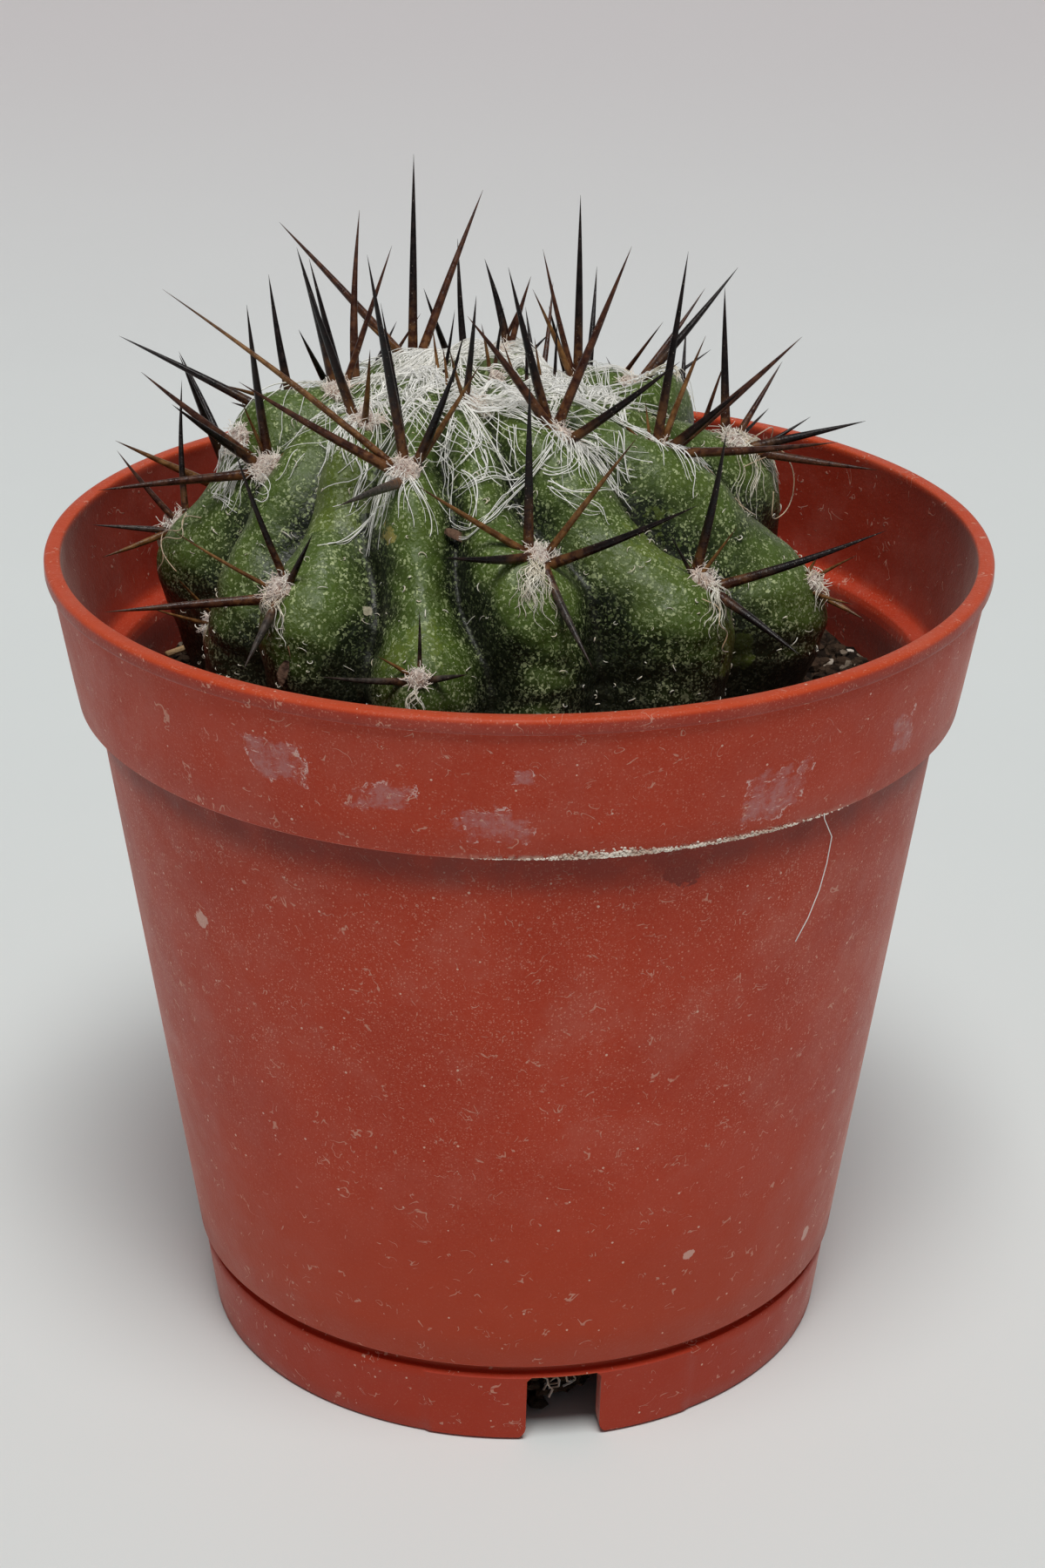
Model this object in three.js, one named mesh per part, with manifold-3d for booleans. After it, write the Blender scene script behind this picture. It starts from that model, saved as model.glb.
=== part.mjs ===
// A round, ribbed cactus in a small tapered nursery pot.
// Millimetres, +Z up, the front of the plant faces -Y, origin at the middle of the pot's foot.
import * as THREE from 'three';
import { mergeVertices } from 'three/addons/utils/BufferGeometryUtils.js';
import Module from 'manifold-3d';

const wasm = await Module();
wasm.setup();
const radians = THREE.MathUtils.degToRad;

// Pot: a thin moulded cup with a band below its lip, a raised floor and a slotted foot.
const POT_HEIGHT = 49.5;
const LIP_RADIUS = 27.5;
const LIP_WIDTH = 0.95;
const LIP_EDGE = 0.25;
const LIP_OVERHANG = 0.3;
const BAND_FOOT_RADIUS = 25.9;
const BAND_FOOT_Z = 40.9;
const BODY_TOP_RADIUS = 24.9;
const BODY_FOOT_RADIUS = 19.95;
const BODY_FOOT_Z = 5.5;
const WALL = 0.95;
const GROOVE_HEIGHT = 0.7;
const GROOVE_DEPTH = 0.5;
const EDGE_CHAMFER = 0.1;
const FOOT_TOP_RADIUS = 19.7;
const FOOT_RADIUS = 19.1;
const FOOT_WALL = 1.2;
const FLOOR_TOP = 5.9;
const FLOOR_UNDERSIDE = 4.8;
const POT_SIDES = 72;

// Three slots in the foot, each with a drain hole in the floor behind it.
const SLOT_COUNT = 3;
const FIRST_SLOT = 8.7;
const SLOT_HALF_WIDTH = 2.2;
const SLOT_CORNER = 0.85;
const SLOT_CUT_START = 15.5;
const SLOT_CUT_LENGTH = 6;
const DRAIN_INNER = 14.2;
const DRAIN_OUTER = 18.4;
const CUT_MARGIN = 1;

// Soil: fills the pot to a little below the inner ledge, round a plain hole for the plant.
const CLEARANCE = 0.35;
const SOIL_TOP = 38.6;
const SOIL_MOUND = 0.5;
const SOIL_RING = 3;
const SOIL_SIDES = 48;
const HOLE_MARGIN = 0.5;
const BURIED_ANGLES = [140, 132, 124, 117, 110, 104, 98];

// Cactus: a flattened ball with ribs cut in and a tubercle raised under each areole. Angles down
// run from the crown at 0 over the widest line at 90 to the buried root.
const PLANT_X = -1.5;
const PLANT_RADIUS = 18.0;
const PLANT_CENTRE_Z = 43.5;
const PLANT_CAP = 12.9;
const PLANT_KEEL = 15.5;
const PLANT_BASE_ANGLE = 140;
const SHOULDER = 2.05;
const CROWN_DIP = 1.0;
const CROWN_DIP_SPREAD = 4;
const FADE_START = 94;
const FADE_END = 108;
const STEPS_PER_RIB = 6;
const RING_ANGLES = [5, 10, 16, 22, 28, 34, 40, 46, 52, 58, 64, 70, 76, 83, 91, 100, 110, 124, 140];

// Rib crests, degrees round the plant where it is widest: 0 is the front, positive to the right.
// Towards the crown each rib twists more and more to the left.
const RIBS = [-92, -65, -37, -12, 8, 39, 76, 106, 134, 162, 189, 216, 242];
const RIB_DEPTH = 3.0;
const RIB_SHALLOWING = 0.7;
const FURROW_SOFTNESS = 0.1;
const TWIST = 0.58;
const TWIST_START = 75;

// A tubercle's middle lies a little below its areole, and it widens its rib.
const BUMP_HEIGHT = 2.2;
const BUMP_LENGTH = 2.7;
const BUMP_WIDTH = 2.9;
const BUMP_DROP = 4;
const YOUNG_BUMP = 0.35;
const GROWN_RADIUS = 12;
const RIB_WIDENING = 0.4;

// Spines: radius at the root by weight. They keep their thickness past the middle, then taper.
const SPINE_RADII = { 1: 0.16, 2: 0.25, 3: 0.34 };
const SPINE_SIDES = 3;
const SPINE_SHOULDER = 0.55;
const SPINE_SHOULDER_WIDTH = 0.8;
const SPINE_SINK = 0.9;
const SPINE_SPREAD = 0.45;
const LIP_MARGIN = 0.3;
const WALL_MARGIN = 1;
const SOIL_MARGIN = 1.2;

// The felt pad that the spines stand in.
const PAD_RADIUS = 1.1;
const PAD_TOP_RADIUS = 0.77;
const PAD_HEIGHT = 0.35;
const PAD_SHOULDER = 0.28;
const PAD_SIDES = 6;

// The view in which the front spines are given: from the front, looking down by this angle.
const VIEW_PITCH = 24;

// Areoles: [degrees round, degrees down from the crown, spines]. A spine is the place of its tip
// from the areole in that view: [right, up, towards the eye, weight]. The others follow a rule.
const AREOLES = [
  [-86, 43.5, [[-0.8, 8.9, 3.4, 3], [-7, 5.3, 1.4, 3], [-4.9, 3.1, 4.4, 3], [-1.2, 3.7, 2.4, 1],
    [2.7, 1.9, 2.4, 1], [-9.3, -1.6, 2.4, 3]]],
  [-97, 68.5, [[0.2, 8.5, 0.1, 2], [-3.5, 4.2, 1.1, 2], [-5.4, -0.2, 1.1, 2], [-4.2, -2.2, 2.1, 2]]],
  [-56, 25, [[-3.3, 7.8, 3, 3], [0.5, 3.5, 4, 2]]],
  [-76, 80, [[-3.4, 0.8, 2.1, 1], [-1.6, 2.5, 3.6, 1]]],
  [-25, 33, [[-2, 11.1, 4, 3], [-9, 4.5, 2, 3], [-13.4, 9.8, 0, 2], [3, 5.7, 4, 3], [4.1, 5.6, 2, 2],
    [-3.2, -2.7, 8, 3], [-1.4, 9, 1, 2]]],
  [-42, 61, [[-2.2, 7.3, 3, 2], [2, 2.8, 2.5, 2], [-5.9, 3.2, 1, 1], [-9.4, -1.4, 1, 3],
    [-1.6, -4.6, 3.5, 3], [0.8, -4, 1, 1]]],
  [-10, 15, [[0, 5.8, 3, 2], [-1.5, 3, 3, 1]]],
  [-11.5, 73, [[0.1, 3.6, 1.5, 1], [-5, 0, 2, 2], [2.7, 0.2, 1.6, 2], [-2.2, 1.2, 0.5, 1]]],
  [10.7, 47, [[-0.6, 9, 4, 3], [5.2, 6.2, 3, 2], [8.4, 2.5, 3.5, 3], [-5, -0.5, 5, 3],
    [2.9, -6.3, 3.5, 3], [-6.6, 3.5, 3, 2]]],
  [31, 22, [[-5.3, 6.1, 4, 3], [-3.1, 9.1, 2, 3], [3.7, 10.3, 2, 3], [6.3, 3.7, 4, 3]]],
  [44.5, 58.5, [[1, 7.8, 3, 3], [-1.9, 2.3, 1.2, 1], [9.9, 2.7, 1, 3], [5.2, -4.3, 2.5, 3],
    [1.7, 2.8, 2, 1]]],
  [71, 30.5, [[1.5, 10.8, 2.5, 3], [-0.8, 2.6, 1, 1], [2.6, 6.3, 1, 2], [4.6, 3, 3.5, 3],
    [8, 6.2, 1.5, 3], [-2.5, 1.7, 1, 1], [9.8, 0, 4, 3]]],
  [75, 71, [[2.4, 1.5, 1, 1], [0.2, 1.6, 0.8, 1], [2.8, -2.2, 1, 2], [2, -1.4, 2.2, 1]]],
  [95, 43.5, [[-0.6, 9, 0.2, 3], [2.9, 4.9, -1.3, 2], [7.6, 1.2, 0.7, 3], [8.4, -1.6, 0.2, 3],
    [2.3, 2.4, -3.3, 1]]],
  [130, 31, [[4.6, 6.1, -2, 2], [6.5, 7.2, -1, 3], [3.1, 0.8, 0, 2]]],
  [146, 23, [[0.7, 11.2, 1.3, 3], [-1.5, 8, 1.3, 2], [-2.1, 5.5, 2.3, 2]]],
  [178, 24, [[-1, 5.8, 0.1, 3], [1.8, 4.8, 0.1, 2]]],
  [165, 38, [[0.4, 7.2, -2.1, 2], [-1.3, 5.8, -3.1, 2]]],
  [213, 24, [[-0.4, 12.4, 1.2, 3], [3.7, 10.5, 0.2, 3], [-8.4, 8.5, 0.2, 3], [-3.4, 2.6, 1.2, 2]]],
  [240, 30, [[0.5, 11, 0.3, 3], [-2, 5.5, -0.7, 1]]],
  [257, 27, [[-2.3, 7.9, 2.4, 3], [3.1, 8.4, 0.4, 2]]],
  [243, 43, [[-1.3, 8.3, 0.1, 3], [-10.3, 4.7, -0.9, 3], [-3.7, 0.9, -1.9, 2]]],
  [140, 70],
  [162, 62],
  [186, 55],
  [192, 82],
  [214, 56],
  [238, 70],
];

// Places where the surface stands out or sinks in by itself: [degrees round, degrees down, rise].
const SWELLINGS = [
  [-104, 42, 2.2], [-116, 33, -3.3], [-133, 28, 1.4], [-152, 24, -1.7], [-170, 22, 0.2], [177, 30, -0.4],
  [165, 22, 1.9], [150, 25, -3.7], [137, 33, -0.3], [124, 34, 2.3], [110, 43, -0.7], [100, 58, 1.9],
  [101, 69, -0.8], [-92, 72, 1.1], [-90, 83, -0.9], [-68, 84, -1.2], [-96, 54, -1.1],
];

// Small young areoles in the crown, a golden angle apart.
const CROWN_AREOLES = 5;
const CROWN_TURN = 40;
const CROWN_DOWN = 6;
const GOLDEN_ANGLE = 137.5;
const YOUNG_SPINES = [[0.4, 4, 1, 1], [-0.9, 3, 1, 1]];
for (let i = 0; i < CROWN_AREOLES; i += 1) {
  AREOLES.push([CROWN_TURN + i * GOLDEN_ANGLE, CROWN_DOWN + i, YOUNG_SPINES]);
}

// Spines by rule: a central one, and a wheel round it: [clock angle, length, weight].
const CENTRAL_LENGTH = 10;
const CENTRAL_LEAN = 0.35;
const CENTRAL_WEIGHT = 3;
const WHEEL = [[25, 9, 3], [-35, 8, 2], [95, 8.5, 3], [-95, 8.5, 3], [150, 6, 2], [-150, 6, 3]];
const WHEEL_RISE = 32;
const CLOCK_SPREAD = 24;
const RISE_SPREAD = 20;
const LENGTH_SPREAD = 0.3;

// Angles between the points that a surface direction is measured from, and the welding distance.
const OUTLINE_STEP = 1;
const TURN_STEP = 4;
const DOWN_STEP = 3;
const WELD = 1e-4;

// A repeatable draw from -0.5 to 0.5, from two whole numbers.
function draw(a, b) {
  const wave = Math.sin(a * 127.1 + b * 311.7 + 17.3) * 43758.5453;
  return wave - Math.floor(wave) - 0.5;
}

function signedTurn(from, to) {
  return ((to - from + 540) % 360) - 180;
}

function solidFrom(positions, triangles) {
  return new wasm.Manifold(new wasm.Mesh({
    numProp: 3,
    vertProperties: new Float32Array(positions),
    triVerts: new Uint32Array(triangles),
  }));
}

function solidFromGeometry(geometry) {
  const bare = geometry.clone();
  bare.deleteAttribute('normal');
  bare.deleteAttribute('uv');
  const merged = mergeVertices(bare, WELD);
  return solidFrom(merged.attributes.position.array, merged.index.array);
}

function geometryFromSolid(solid) {
  const mesh = solid.getMesh();
  const geometry = new THREE.BufferGeometry();
  geometry.setAttribute('position', new THREE.BufferAttribute(new Float32Array(mesh.vertProperties), 3));
  geometry.setIndex(new THREE.BufferAttribute(new Uint32Array(mesh.triVerts), 1));
  return geometry;
}

// Rings of points, each joined to the next, closed by a point above and one below.
function solidFromRings(top, rings, bottom) {
  const count = rings[0].length;
  const positions = [top, ...rings.flat(), bottom].flatMap((p) => [p.x, p.y, p.z]);
  const triangles = [];
  const index = (ring, step) => 1 + ring * count + (step % count);
  const last = 1 + rings.length * count;
  for (let i = 0; i < count; i += 1) {
    triangles.push(0, index(0, i), index(0, i + 1));
    for (let ring = 0; ring + 1 < rings.length; ring += 1) {
      triangles.push(index(ring, i), index(ring + 1, i), index(ring + 1, i + 1));
      triangles.push(index(ring, i), index(ring + 1, i + 1), index(ring, i + 1));
    }
    triangles.push(last, index(rings.length - 1, i + 1), index(rings.length - 1, i));
  }
  return solidFrom(positions, triangles);
}

// Points evenly round a centre, in the plane of two directions.
function circleOfPoints(centre, across, up, radius, count) {
  const points = [];
  for (let i = 0; i < count; i += 1) {
    const turn = (2 * Math.PI * i) / count;
    points.push(centre.clone()
      .addScaledVector(across, Math.cos(turn) * radius)
      .addScaledVector(up, Math.sin(turn) * radius));
  }
  return points;
}

function lathe(points, sides) {
  const profile = points.map(([x, y]) => new THREE.Vector2(x, y));
  return new THREE.LatheGeometry(profile, sides).rotateX(Math.PI / 2);
}

function bodyRadius(z) {
  const rise = (z - BODY_FOOT_Z) / (BAND_FOOT_Z - BODY_FOOT_Z);
  return BODY_FOOT_RADIUS + rise * (BODY_TOP_RADIUS - BODY_FOOT_RADIUS);
}

function potShell() {
  const lipFoot = POT_HEIGHT - LIP_WIDTH;
  const mouth = LIP_RADIUS - LIP_WIDTH;
  const ledge = BAND_FOOT_Z + WALL;
  const grooveFoot = BODY_FOOT_Z - GROOVE_HEIGHT;
  const groove = FOOT_TOP_RADIUS - GROOVE_DEPTH;
  return solidFromGeometry(lathe([
    [0, FLOOR_UNDERSIDE],
    [FOOT_TOP_RADIUS - FOOT_WALL, FLOOR_UNDERSIDE],
    [FOOT_RADIUS - FOOT_WALL, 0],
    [FOOT_RADIUS, 0],
    [FOOT_TOP_RADIUS, grooveFoot],
    [groove, grooveFoot + EDGE_CHAMFER],
    [groove, BODY_FOOT_Z - EDGE_CHAMFER],
    [BODY_FOOT_RADIUS, BODY_FOOT_Z],
    [BODY_TOP_RADIUS, BAND_FOOT_Z + EDGE_CHAMFER],
    [BAND_FOOT_RADIUS, BAND_FOOT_Z],
    [LIP_RADIUS - LIP_OVERHANG, lipFoot],
    [LIP_RADIUS, lipFoot + LIP_EDGE],
    [LIP_RADIUS, POT_HEIGHT - LIP_EDGE],
    [LIP_RADIUS - LIP_EDGE, POT_HEIGHT],
    [mouth + LIP_EDGE, POT_HEIGHT],
    [mouth, POT_HEIGHT - LIP_EDGE],
    [BAND_FOOT_RADIUS - WALL, ledge],
    [BODY_TOP_RADIUS - WALL, ledge],
    [BODY_FOOT_RADIUS - WALL, FLOOR_TOP],
    [0, FLOOR_TOP],
  ], POT_SIDES));
}

// The slot's outline flares at the foot with a round corner on each side.
function slotCutter() {
  const top = BODY_FOOT_Z - GROOVE_HEIGHT - EDGE_CHAMFER;
  const flare = SLOT_HALF_WIDTH + SLOT_CORNER;
  const slot = new THREE.Shape();
  slot.moveTo(-flare, -CUT_MARGIN);
  slot.lineTo(flare, -CUT_MARGIN);
  slot.lineTo(flare, 0);
  slot.quadraticCurveTo(SLOT_HALF_WIDTH, 0, SLOT_HALF_WIDTH, SLOT_CORNER);
  slot.lineTo(SLOT_HALF_WIDTH, top);
  slot.lineTo(-SLOT_HALF_WIDTH, top);
  slot.lineTo(-SLOT_HALF_WIDTH, SLOT_CORNER);
  slot.quadraticCurveTo(-SLOT_HALF_WIDTH, 0, -flare, 0);
  const throughWall = { depth: SLOT_CUT_LENGTH, bevelEnabled: false, curveSegments: 4 };
  return new THREE.ExtrudeGeometry(slot, throughWall)
    .rotateX(Math.PI / 2)
    .translate(0, -SLOT_CUT_START, 0);
}

function drainCutter() {
  const drain = new THREE.Shape();
  drain.moveTo(-SLOT_HALF_WIDTH, -DRAIN_OUTER);
  drain.lineTo(SLOT_HALF_WIDTH, -DRAIN_OUTER);
  drain.lineTo(SLOT_HALF_WIDTH, -DRAIN_INNER);
  drain.lineTo(-SLOT_HALF_WIDTH, -DRAIN_INNER);
  const depth = FLOOR_TOP - FLOOR_UNDERSIDE + 2 * CUT_MARGIN;
  return new THREE.ExtrudeGeometry(drain, { depth, bevelEnabled: false })
    .translate(0, 0, FLOOR_UNDERSIDE - CUT_MARGIN);
}

function makePot() {
  let pot = potShell();
  for (let i = 0; i < SLOT_COUNT; i += 1) {
    const turn = radians(FIRST_SLOT + (i * 360) / SLOT_COUNT);
    pot = pot.subtract(solidFromGeometry(slotCutter().rotateZ(turn)));
    pot = pot.subtract(solidFromGeometry(drainCutter().rotateZ(turn)));
  }
  return geometryFromSolid(pot);
}

// The plant's outline without ribs: a superellipse, as radius and height.
function outline(down) {
  const s = Math.sin(radians(down));
  const c = Math.cos(radians(down));
  const power = 2 / SHOULDER;
  const height = c > 0 ? PLANT_CAP : PLANT_KEEL;
  const radius = PLANT_RADIUS * Math.abs(s) ** power;
  return new THREE.Vector2(radius, PLANT_CENTRE_Z + height * Math.sign(c) * Math.abs(c) ** power);
}

function outlineNormal(down) {
  const before = outline(Math.max(down - OUTLINE_STEP, 0));
  const along = outline(down + OUTLINE_STEP).sub(before).normalize();
  return new THREE.Vector2(-along.y, along.x);
}

// The hole follows the plant's buried part, which stands a little to the left of the pot's axis.
function makeSoil() {
  const wallRadius = (z) => bodyRadius(z) - WALL - CLEARANCE;
  const bottom = FLOOR_TOP + CLEARANCE;
  const fill = solidFromGeometry(lathe([
    [0, bottom],
    [wallRadius(bottom), bottom],
    [wallRadius(SOIL_TOP), SOIL_TOP],
    [wallRadius(SOIL_TOP) - SOIL_RING, SOIL_TOP + SOIL_MOUND],
    [0, SOIL_TOP + SOIL_MOUND],
  ], SOIL_SIDES));
  const side = BURIED_ANGLES.map((down) => [outline(down).x + HOLE_MARGIN, outline(down).y]);
  const floor = outline(PLANT_BASE_ANGLE).y - HOLE_MARGIN;
  const hole = solidFromGeometry(lathe([
    [0, floor],
    [side[0][0], floor],
    ...side,
    [side[side.length - 1][0], PLANT_CENTRE_Z],
    [0, PLANT_CENTRE_Z],
  ], SOIL_SIDES));
  return geometryFromSolid(fill.subtract(hole.translate([PLANT_X, 0, 0])));
}

function twist(down) {
  return (TWIST * Math.max(TWIST_START - down, 0) ** 2) / TWIST_START;
}

function ribWidth(i) {
  return (i + 1 < RIBS.length ? RIBS[i + 1] : RIBS[0] + 360) - RIBS[i];
}

// How far into a furrow a direction lies: 0 on a crest, 1 at the bottom of a furrow.
function furrow(degrees) {
  for (let i = 0; i < RIBS.length; i += 1) {
    const turn = (((degrees - RIBS[i]) % 360) + 360) % 360;
    if (turn <= ribWidth(i)) {
      return 1 - Math.hypot(Math.cos((Math.PI * turn) / ribWidth(i)), FURROW_SOFTNESS);
    }
  }
  return 0;
}

// How near a point of the surface is to a place on it: 1 there, fading all round.
function nearness(degrees, down, placeDegrees, placeDown) {
  const here = outline(down);
  const along = here.distanceTo(outline(placeDown)) / BUMP_LENGTH;
  const aside = radians(signedTurn(placeDegrees, degrees));
  const across = (aside * Math.max(here.x, BUMP_WIDTH)) / BUMP_WIDTH;
  return Math.exp(-0.5 * (along * along + across * across));
}

// Each tubercle raises the surface, and pushes the furrows beside it apart.
function tubercles(degrees, down) {
  let height = 0;
  let widening = 0;
  for (const [areoleTurn, areoleDown] of AREOLES) {
    const middle = areoleDown + BUMP_DROP;
    const share = nearness(degrees, down, areoleTurn, middle);
    height += BUMP_HEIGHT * Math.min(1, YOUNG_BUMP + outline(middle).x / GROWN_RADIUS) * share;
    widening += RIB_WIDENING * signedTurn(areoleTurn, degrees) * share;
  }
  for (const [turn, swellingDown, rise] of SWELLINGS) {
    height += rise * nearness(degrees, down, turn, swellingDown);
  }
  return { height, widening };
}

function plantPoint(degrees, down) {
  const here = outline(down);
  const normal = outlineNormal(down);
  const bump = tubercles(degrees, down);
  const depth = RIB_DEPTH * Math.sin(radians(Math.min(down, 90))) ** RIB_SHALLOWING;
  const groove = depth * furrow(degrees + twist(down) - bump.widening);
  const fade = 1 - THREE.MathUtils.smoothstep(down, FADE_START, FADE_END);
  const dip = down < 90 ? CROWN_DIP * Math.exp(-((here.x / CROWN_DIP_SPREAD) ** 2)) : 0;
  const lift = fade * (bump.height - groove) - dip;
  const radius = here.x + normal.x * lift;
  const turn = radians(degrees);
  return new THREE.Vector3(
    PLANT_X + radius * Math.sin(turn),
    -radius * Math.cos(turn),
    here.y + normal.y * lift,
  );
}

function plantBody() {
  const columns = [];
  for (let i = 0; i < RIBS.length; i += 1) {
    for (let step = 0; step < STEPS_PER_RIB; step += 1) {
      columns.push(RIBS[i] + (ribWidth(i) * step) / STEPS_PER_RIB);
    }
  }
  const rings = RING_ANGLES.map((down) => columns.map((turn) => plantPoint(turn - twist(down), down)));
  const top = new THREE.Vector3();
  rings[0].forEach((point) => top.addScaledVector(point, 1 / columns.length));
  const bottom = new THREE.Vector3(PLANT_X, 0, outline(PLANT_BASE_ANGLE).y);
  return solidFromRings(top, rings, bottom);
}

// An areole's place, with its directions across and up the rib and out of the surface.
function areoleFrame(degrees, down) {
  const left = plantPoint(degrees - TURN_STEP, down);
  const across = plantPoint(degrees + TURN_STEP, down).sub(left).normalize();
  const below = plantPoint(degrees, down + DOWN_STEP);
  const up = plantPoint(degrees, down - DOWN_STEP).sub(below).normalize();
  const normal = across.clone().cross(up).normalize();
  return { at: plantPoint(degrees, down), across, up, normal };
}

function makePad({ at, across, up, normal }) {
  const above = (height) => at.clone().addScaledVector(normal, height);
  const rings = [
    circleOfPoints(above(PAD_SHOULDER), across, up, PAD_TOP_RADIUS, PAD_SIDES),
    circleOfPoints(above(-SPINE_SINK), across, up, PAD_RADIUS, PAD_SIDES),
  ];
  return solidFromRings(above(PAD_HEIGHT), rings, above(-SPINE_SINK));
}

function makeSpine({ at, normal }, tip, radius) {
  const lean = tip.clone().sub(at);
  const sideways = lean.addScaledVector(normal, -lean.dot(normal)).normalize();
  const root = at.clone()
    .addScaledVector(normal, -SPINE_SINK)
    .addScaledVector(sideways, SPINE_SPREAD);
  const axis = tip.clone().sub(root).normalize();
  const side = axis.clone().cross(sideways).normalize();
  const other = axis.clone().cross(side);
  const shoulder = root.clone().lerp(tip, SPINE_SHOULDER);
  const rings = [
    circleOfPoints(shoulder, side, other, radius * SPINE_SHOULDER_WIDTH, SPINE_SIDES),
    circleOfPoints(root, side, other, radius, SPINE_SIDES),
  ];
  return solidFromRings(tip, rings, root);
}

// A tip stays above the soil, and inside the pot's wall or over its lip.
function keepInside(tip) {
  const radius = Math.hypot(tip.x, tip.y);
  const overLip = tip.z > POT_HEIGHT + 2 * LIP_MARGIN;
  const wall = bodyRadius(Math.min(tip.z, POT_HEIGHT)) - WALL_MARGIN;
  const limit = overLip ? LIP_RADIUS - LIP_MARGIN : wall;
  if (radius > limit) {
    tip.x *= limit / radius;
    tip.y *= limit / radius;
  }
  tip.z = Math.max(tip.z, SOIL_TOP + SOIL_MARGIN);
  return tip;
}

function tipsByRule({ at, across, up, normal }, number) {
  const central = normal.clone().addScaledVector(up, CENTRAL_LEAN).normalize();
  const tips = [[at.clone().addScaledVector(central, CENTRAL_LENGTH), CENTRAL_WEIGHT]];
  WHEEL.forEach(([clock, length, weight], i) => {
    const turn = radians(clock + CLOCK_SPREAD * draw(number, i));
    const rise = radians(WHEEL_RISE + RISE_SPREAD * draw(number, i + WHEEL.length));
    const reach = length * (1 + LENGTH_SPREAD * draw(number, i + 2 * WHEEL.length));
    const tip = at.clone()
      .addScaledVector(up, Math.cos(turn) * Math.cos(rise) * reach)
      .addScaledVector(across, Math.sin(turn) * Math.cos(rise) * reach)
      .addScaledVector(normal, Math.sin(rise) * reach);
    tips.push([tip, weight]);
  });
  return tips;
}

function tipsInView({ at }, spines) {
  const pitch = radians(VIEW_PITCH);
  const right = new THREE.Vector3(1, 0, 0);
  const up = new THREE.Vector3(0, Math.sin(pitch), Math.cos(pitch));
  const towards = new THREE.Vector3(0, -Math.cos(pitch), Math.sin(pitch));
  return spines.map(([toRight, toTop, toEye, weight]) => {
    const tip = at.clone()
      .addScaledVector(right, toRight)
      .addScaledVector(up, toTop)
      .addScaledVector(towards, toEye);
    return [tip, weight];
  });
}

function makeCactus() {
  let plant = plantBody();
  AREOLES.forEach(([degrees, down, spines], number) => {
    const areole = areoleFrame(degrees, down);
    plant = plant.add(makePad(areole));
    const tips = spines ? tipsInView(areole, spines) : tipsByRule(areole, number);
    for (const [tip, weight] of tips) {
      plant = plant.add(makeSpine(areole, keepInside(tip), SPINE_RADII[weight]));
    }
  });
  return geometryFromSolid(plant);
}

function piece(name, geometry, color, roughness) {
  const material = new THREE.MeshStandardMaterial({ color, roughness, metalness: 0 });
  const mesh = new THREE.Mesh(geometry, material);
  mesh.name = name;
  return mesh;
}

const group = new THREE.Group();
group.add(piece('pot', makePot(), '#8f3a29', 0.6));
group.add(piece('soil', makeSoil(), '#2b211c', 0.95));
group.add(piece('cactus', makeCactus(), '#3f5a34', 0.65));

export default group;
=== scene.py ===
# A round, ribbed cactus in a small tapered nursery pot, dressed for rendering.
# Lengths in the tables are millimetres in the part's frame: +Z up, the front faces -Y.
import math

import bmesh
import bpy
import numpy as np
from mathutils import Matrix


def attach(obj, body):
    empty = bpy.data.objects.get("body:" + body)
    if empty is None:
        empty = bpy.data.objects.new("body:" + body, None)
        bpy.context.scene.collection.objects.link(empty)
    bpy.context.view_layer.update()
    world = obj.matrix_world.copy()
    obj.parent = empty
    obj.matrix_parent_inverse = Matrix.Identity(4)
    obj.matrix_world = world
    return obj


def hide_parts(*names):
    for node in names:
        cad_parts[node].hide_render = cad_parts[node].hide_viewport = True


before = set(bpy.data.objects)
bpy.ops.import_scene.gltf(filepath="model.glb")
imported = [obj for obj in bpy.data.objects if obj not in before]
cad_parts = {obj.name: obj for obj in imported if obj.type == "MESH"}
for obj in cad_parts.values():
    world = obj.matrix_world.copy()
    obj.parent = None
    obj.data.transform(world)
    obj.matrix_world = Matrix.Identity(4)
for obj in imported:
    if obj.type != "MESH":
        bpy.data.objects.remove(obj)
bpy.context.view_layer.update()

rng = np.random.default_rng(41)
MM = 0.001
COLLECTION = bpy.context.scene.collection

# Camera: in front, looking down, as the photograph was taken.
CAMERA_TARGET = (0.28, 0.0, 33.82)
CAMERA_DISTANCE = 197.2
CAMERA_PITCH = 23.86
CAMERA_ROLL = 0.41
CAMERA_LENS = 75.2

# Light and paper. The softbox's place and size are in metres.
SOFTBOX_PLACE = (0.10, -1.02, 2.76)
SOFTBOX_SIZE = 1.15
SOFTBOX_POWER = 62
SOFTBOX_COLOUR = (1.0, 0.99, 0.975)
SKY_COLOUR = (0.92, 0.95, 1.0, 1)
SKY_STRENGTH = 0.15
PAPER_GAP = 0.02
SWEEP = [(-4000, 0), (-300, 0), (0, 0), (300, 0), (520, 0), (600, 8), (670, 30), (730, 75), (770, 140),
         (790, 230), (800, 700)]
SWEEP_COLUMNS = (-4000, -500, 0, 500, 4000)

# Pot, with the same sizes as its solid.
POT_HEIGHT = 49.5
LIP_RADIUS = 27.5
LIP_WIDTH = 0.95
BAND_FOOT_RADIUS = 25.9
BAND_FOOT_Z = 40.9
BODY_TOP_RADIUS = 24.9
BODY_FOOT_RADIUS = 19.95
BODY_FOOT_Z = 5.5
WALL = 0.95
FOOT_TOP_RADIUS = 19.7
FOOT_RADIUS = 19.1
FOOT_WALL = 1.2
FOOT_TOP_Z = 4.8
GROOVE_DEPTH = 0.5
FLOOR_TOP = 5.9
FLOOR_UNDERSIDE = 4.8
SLOT_TURNS = (8.7, 128.7, 248.7)
SLOT_HALF_WIDTH = 2.2
SLOT_CORNER = 0.85
SLOT_SIDE_TOP = 4.45
SLOT_TOP = 4.7
SLOT_DEPTHS = (-15.5, -21.5)
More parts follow.
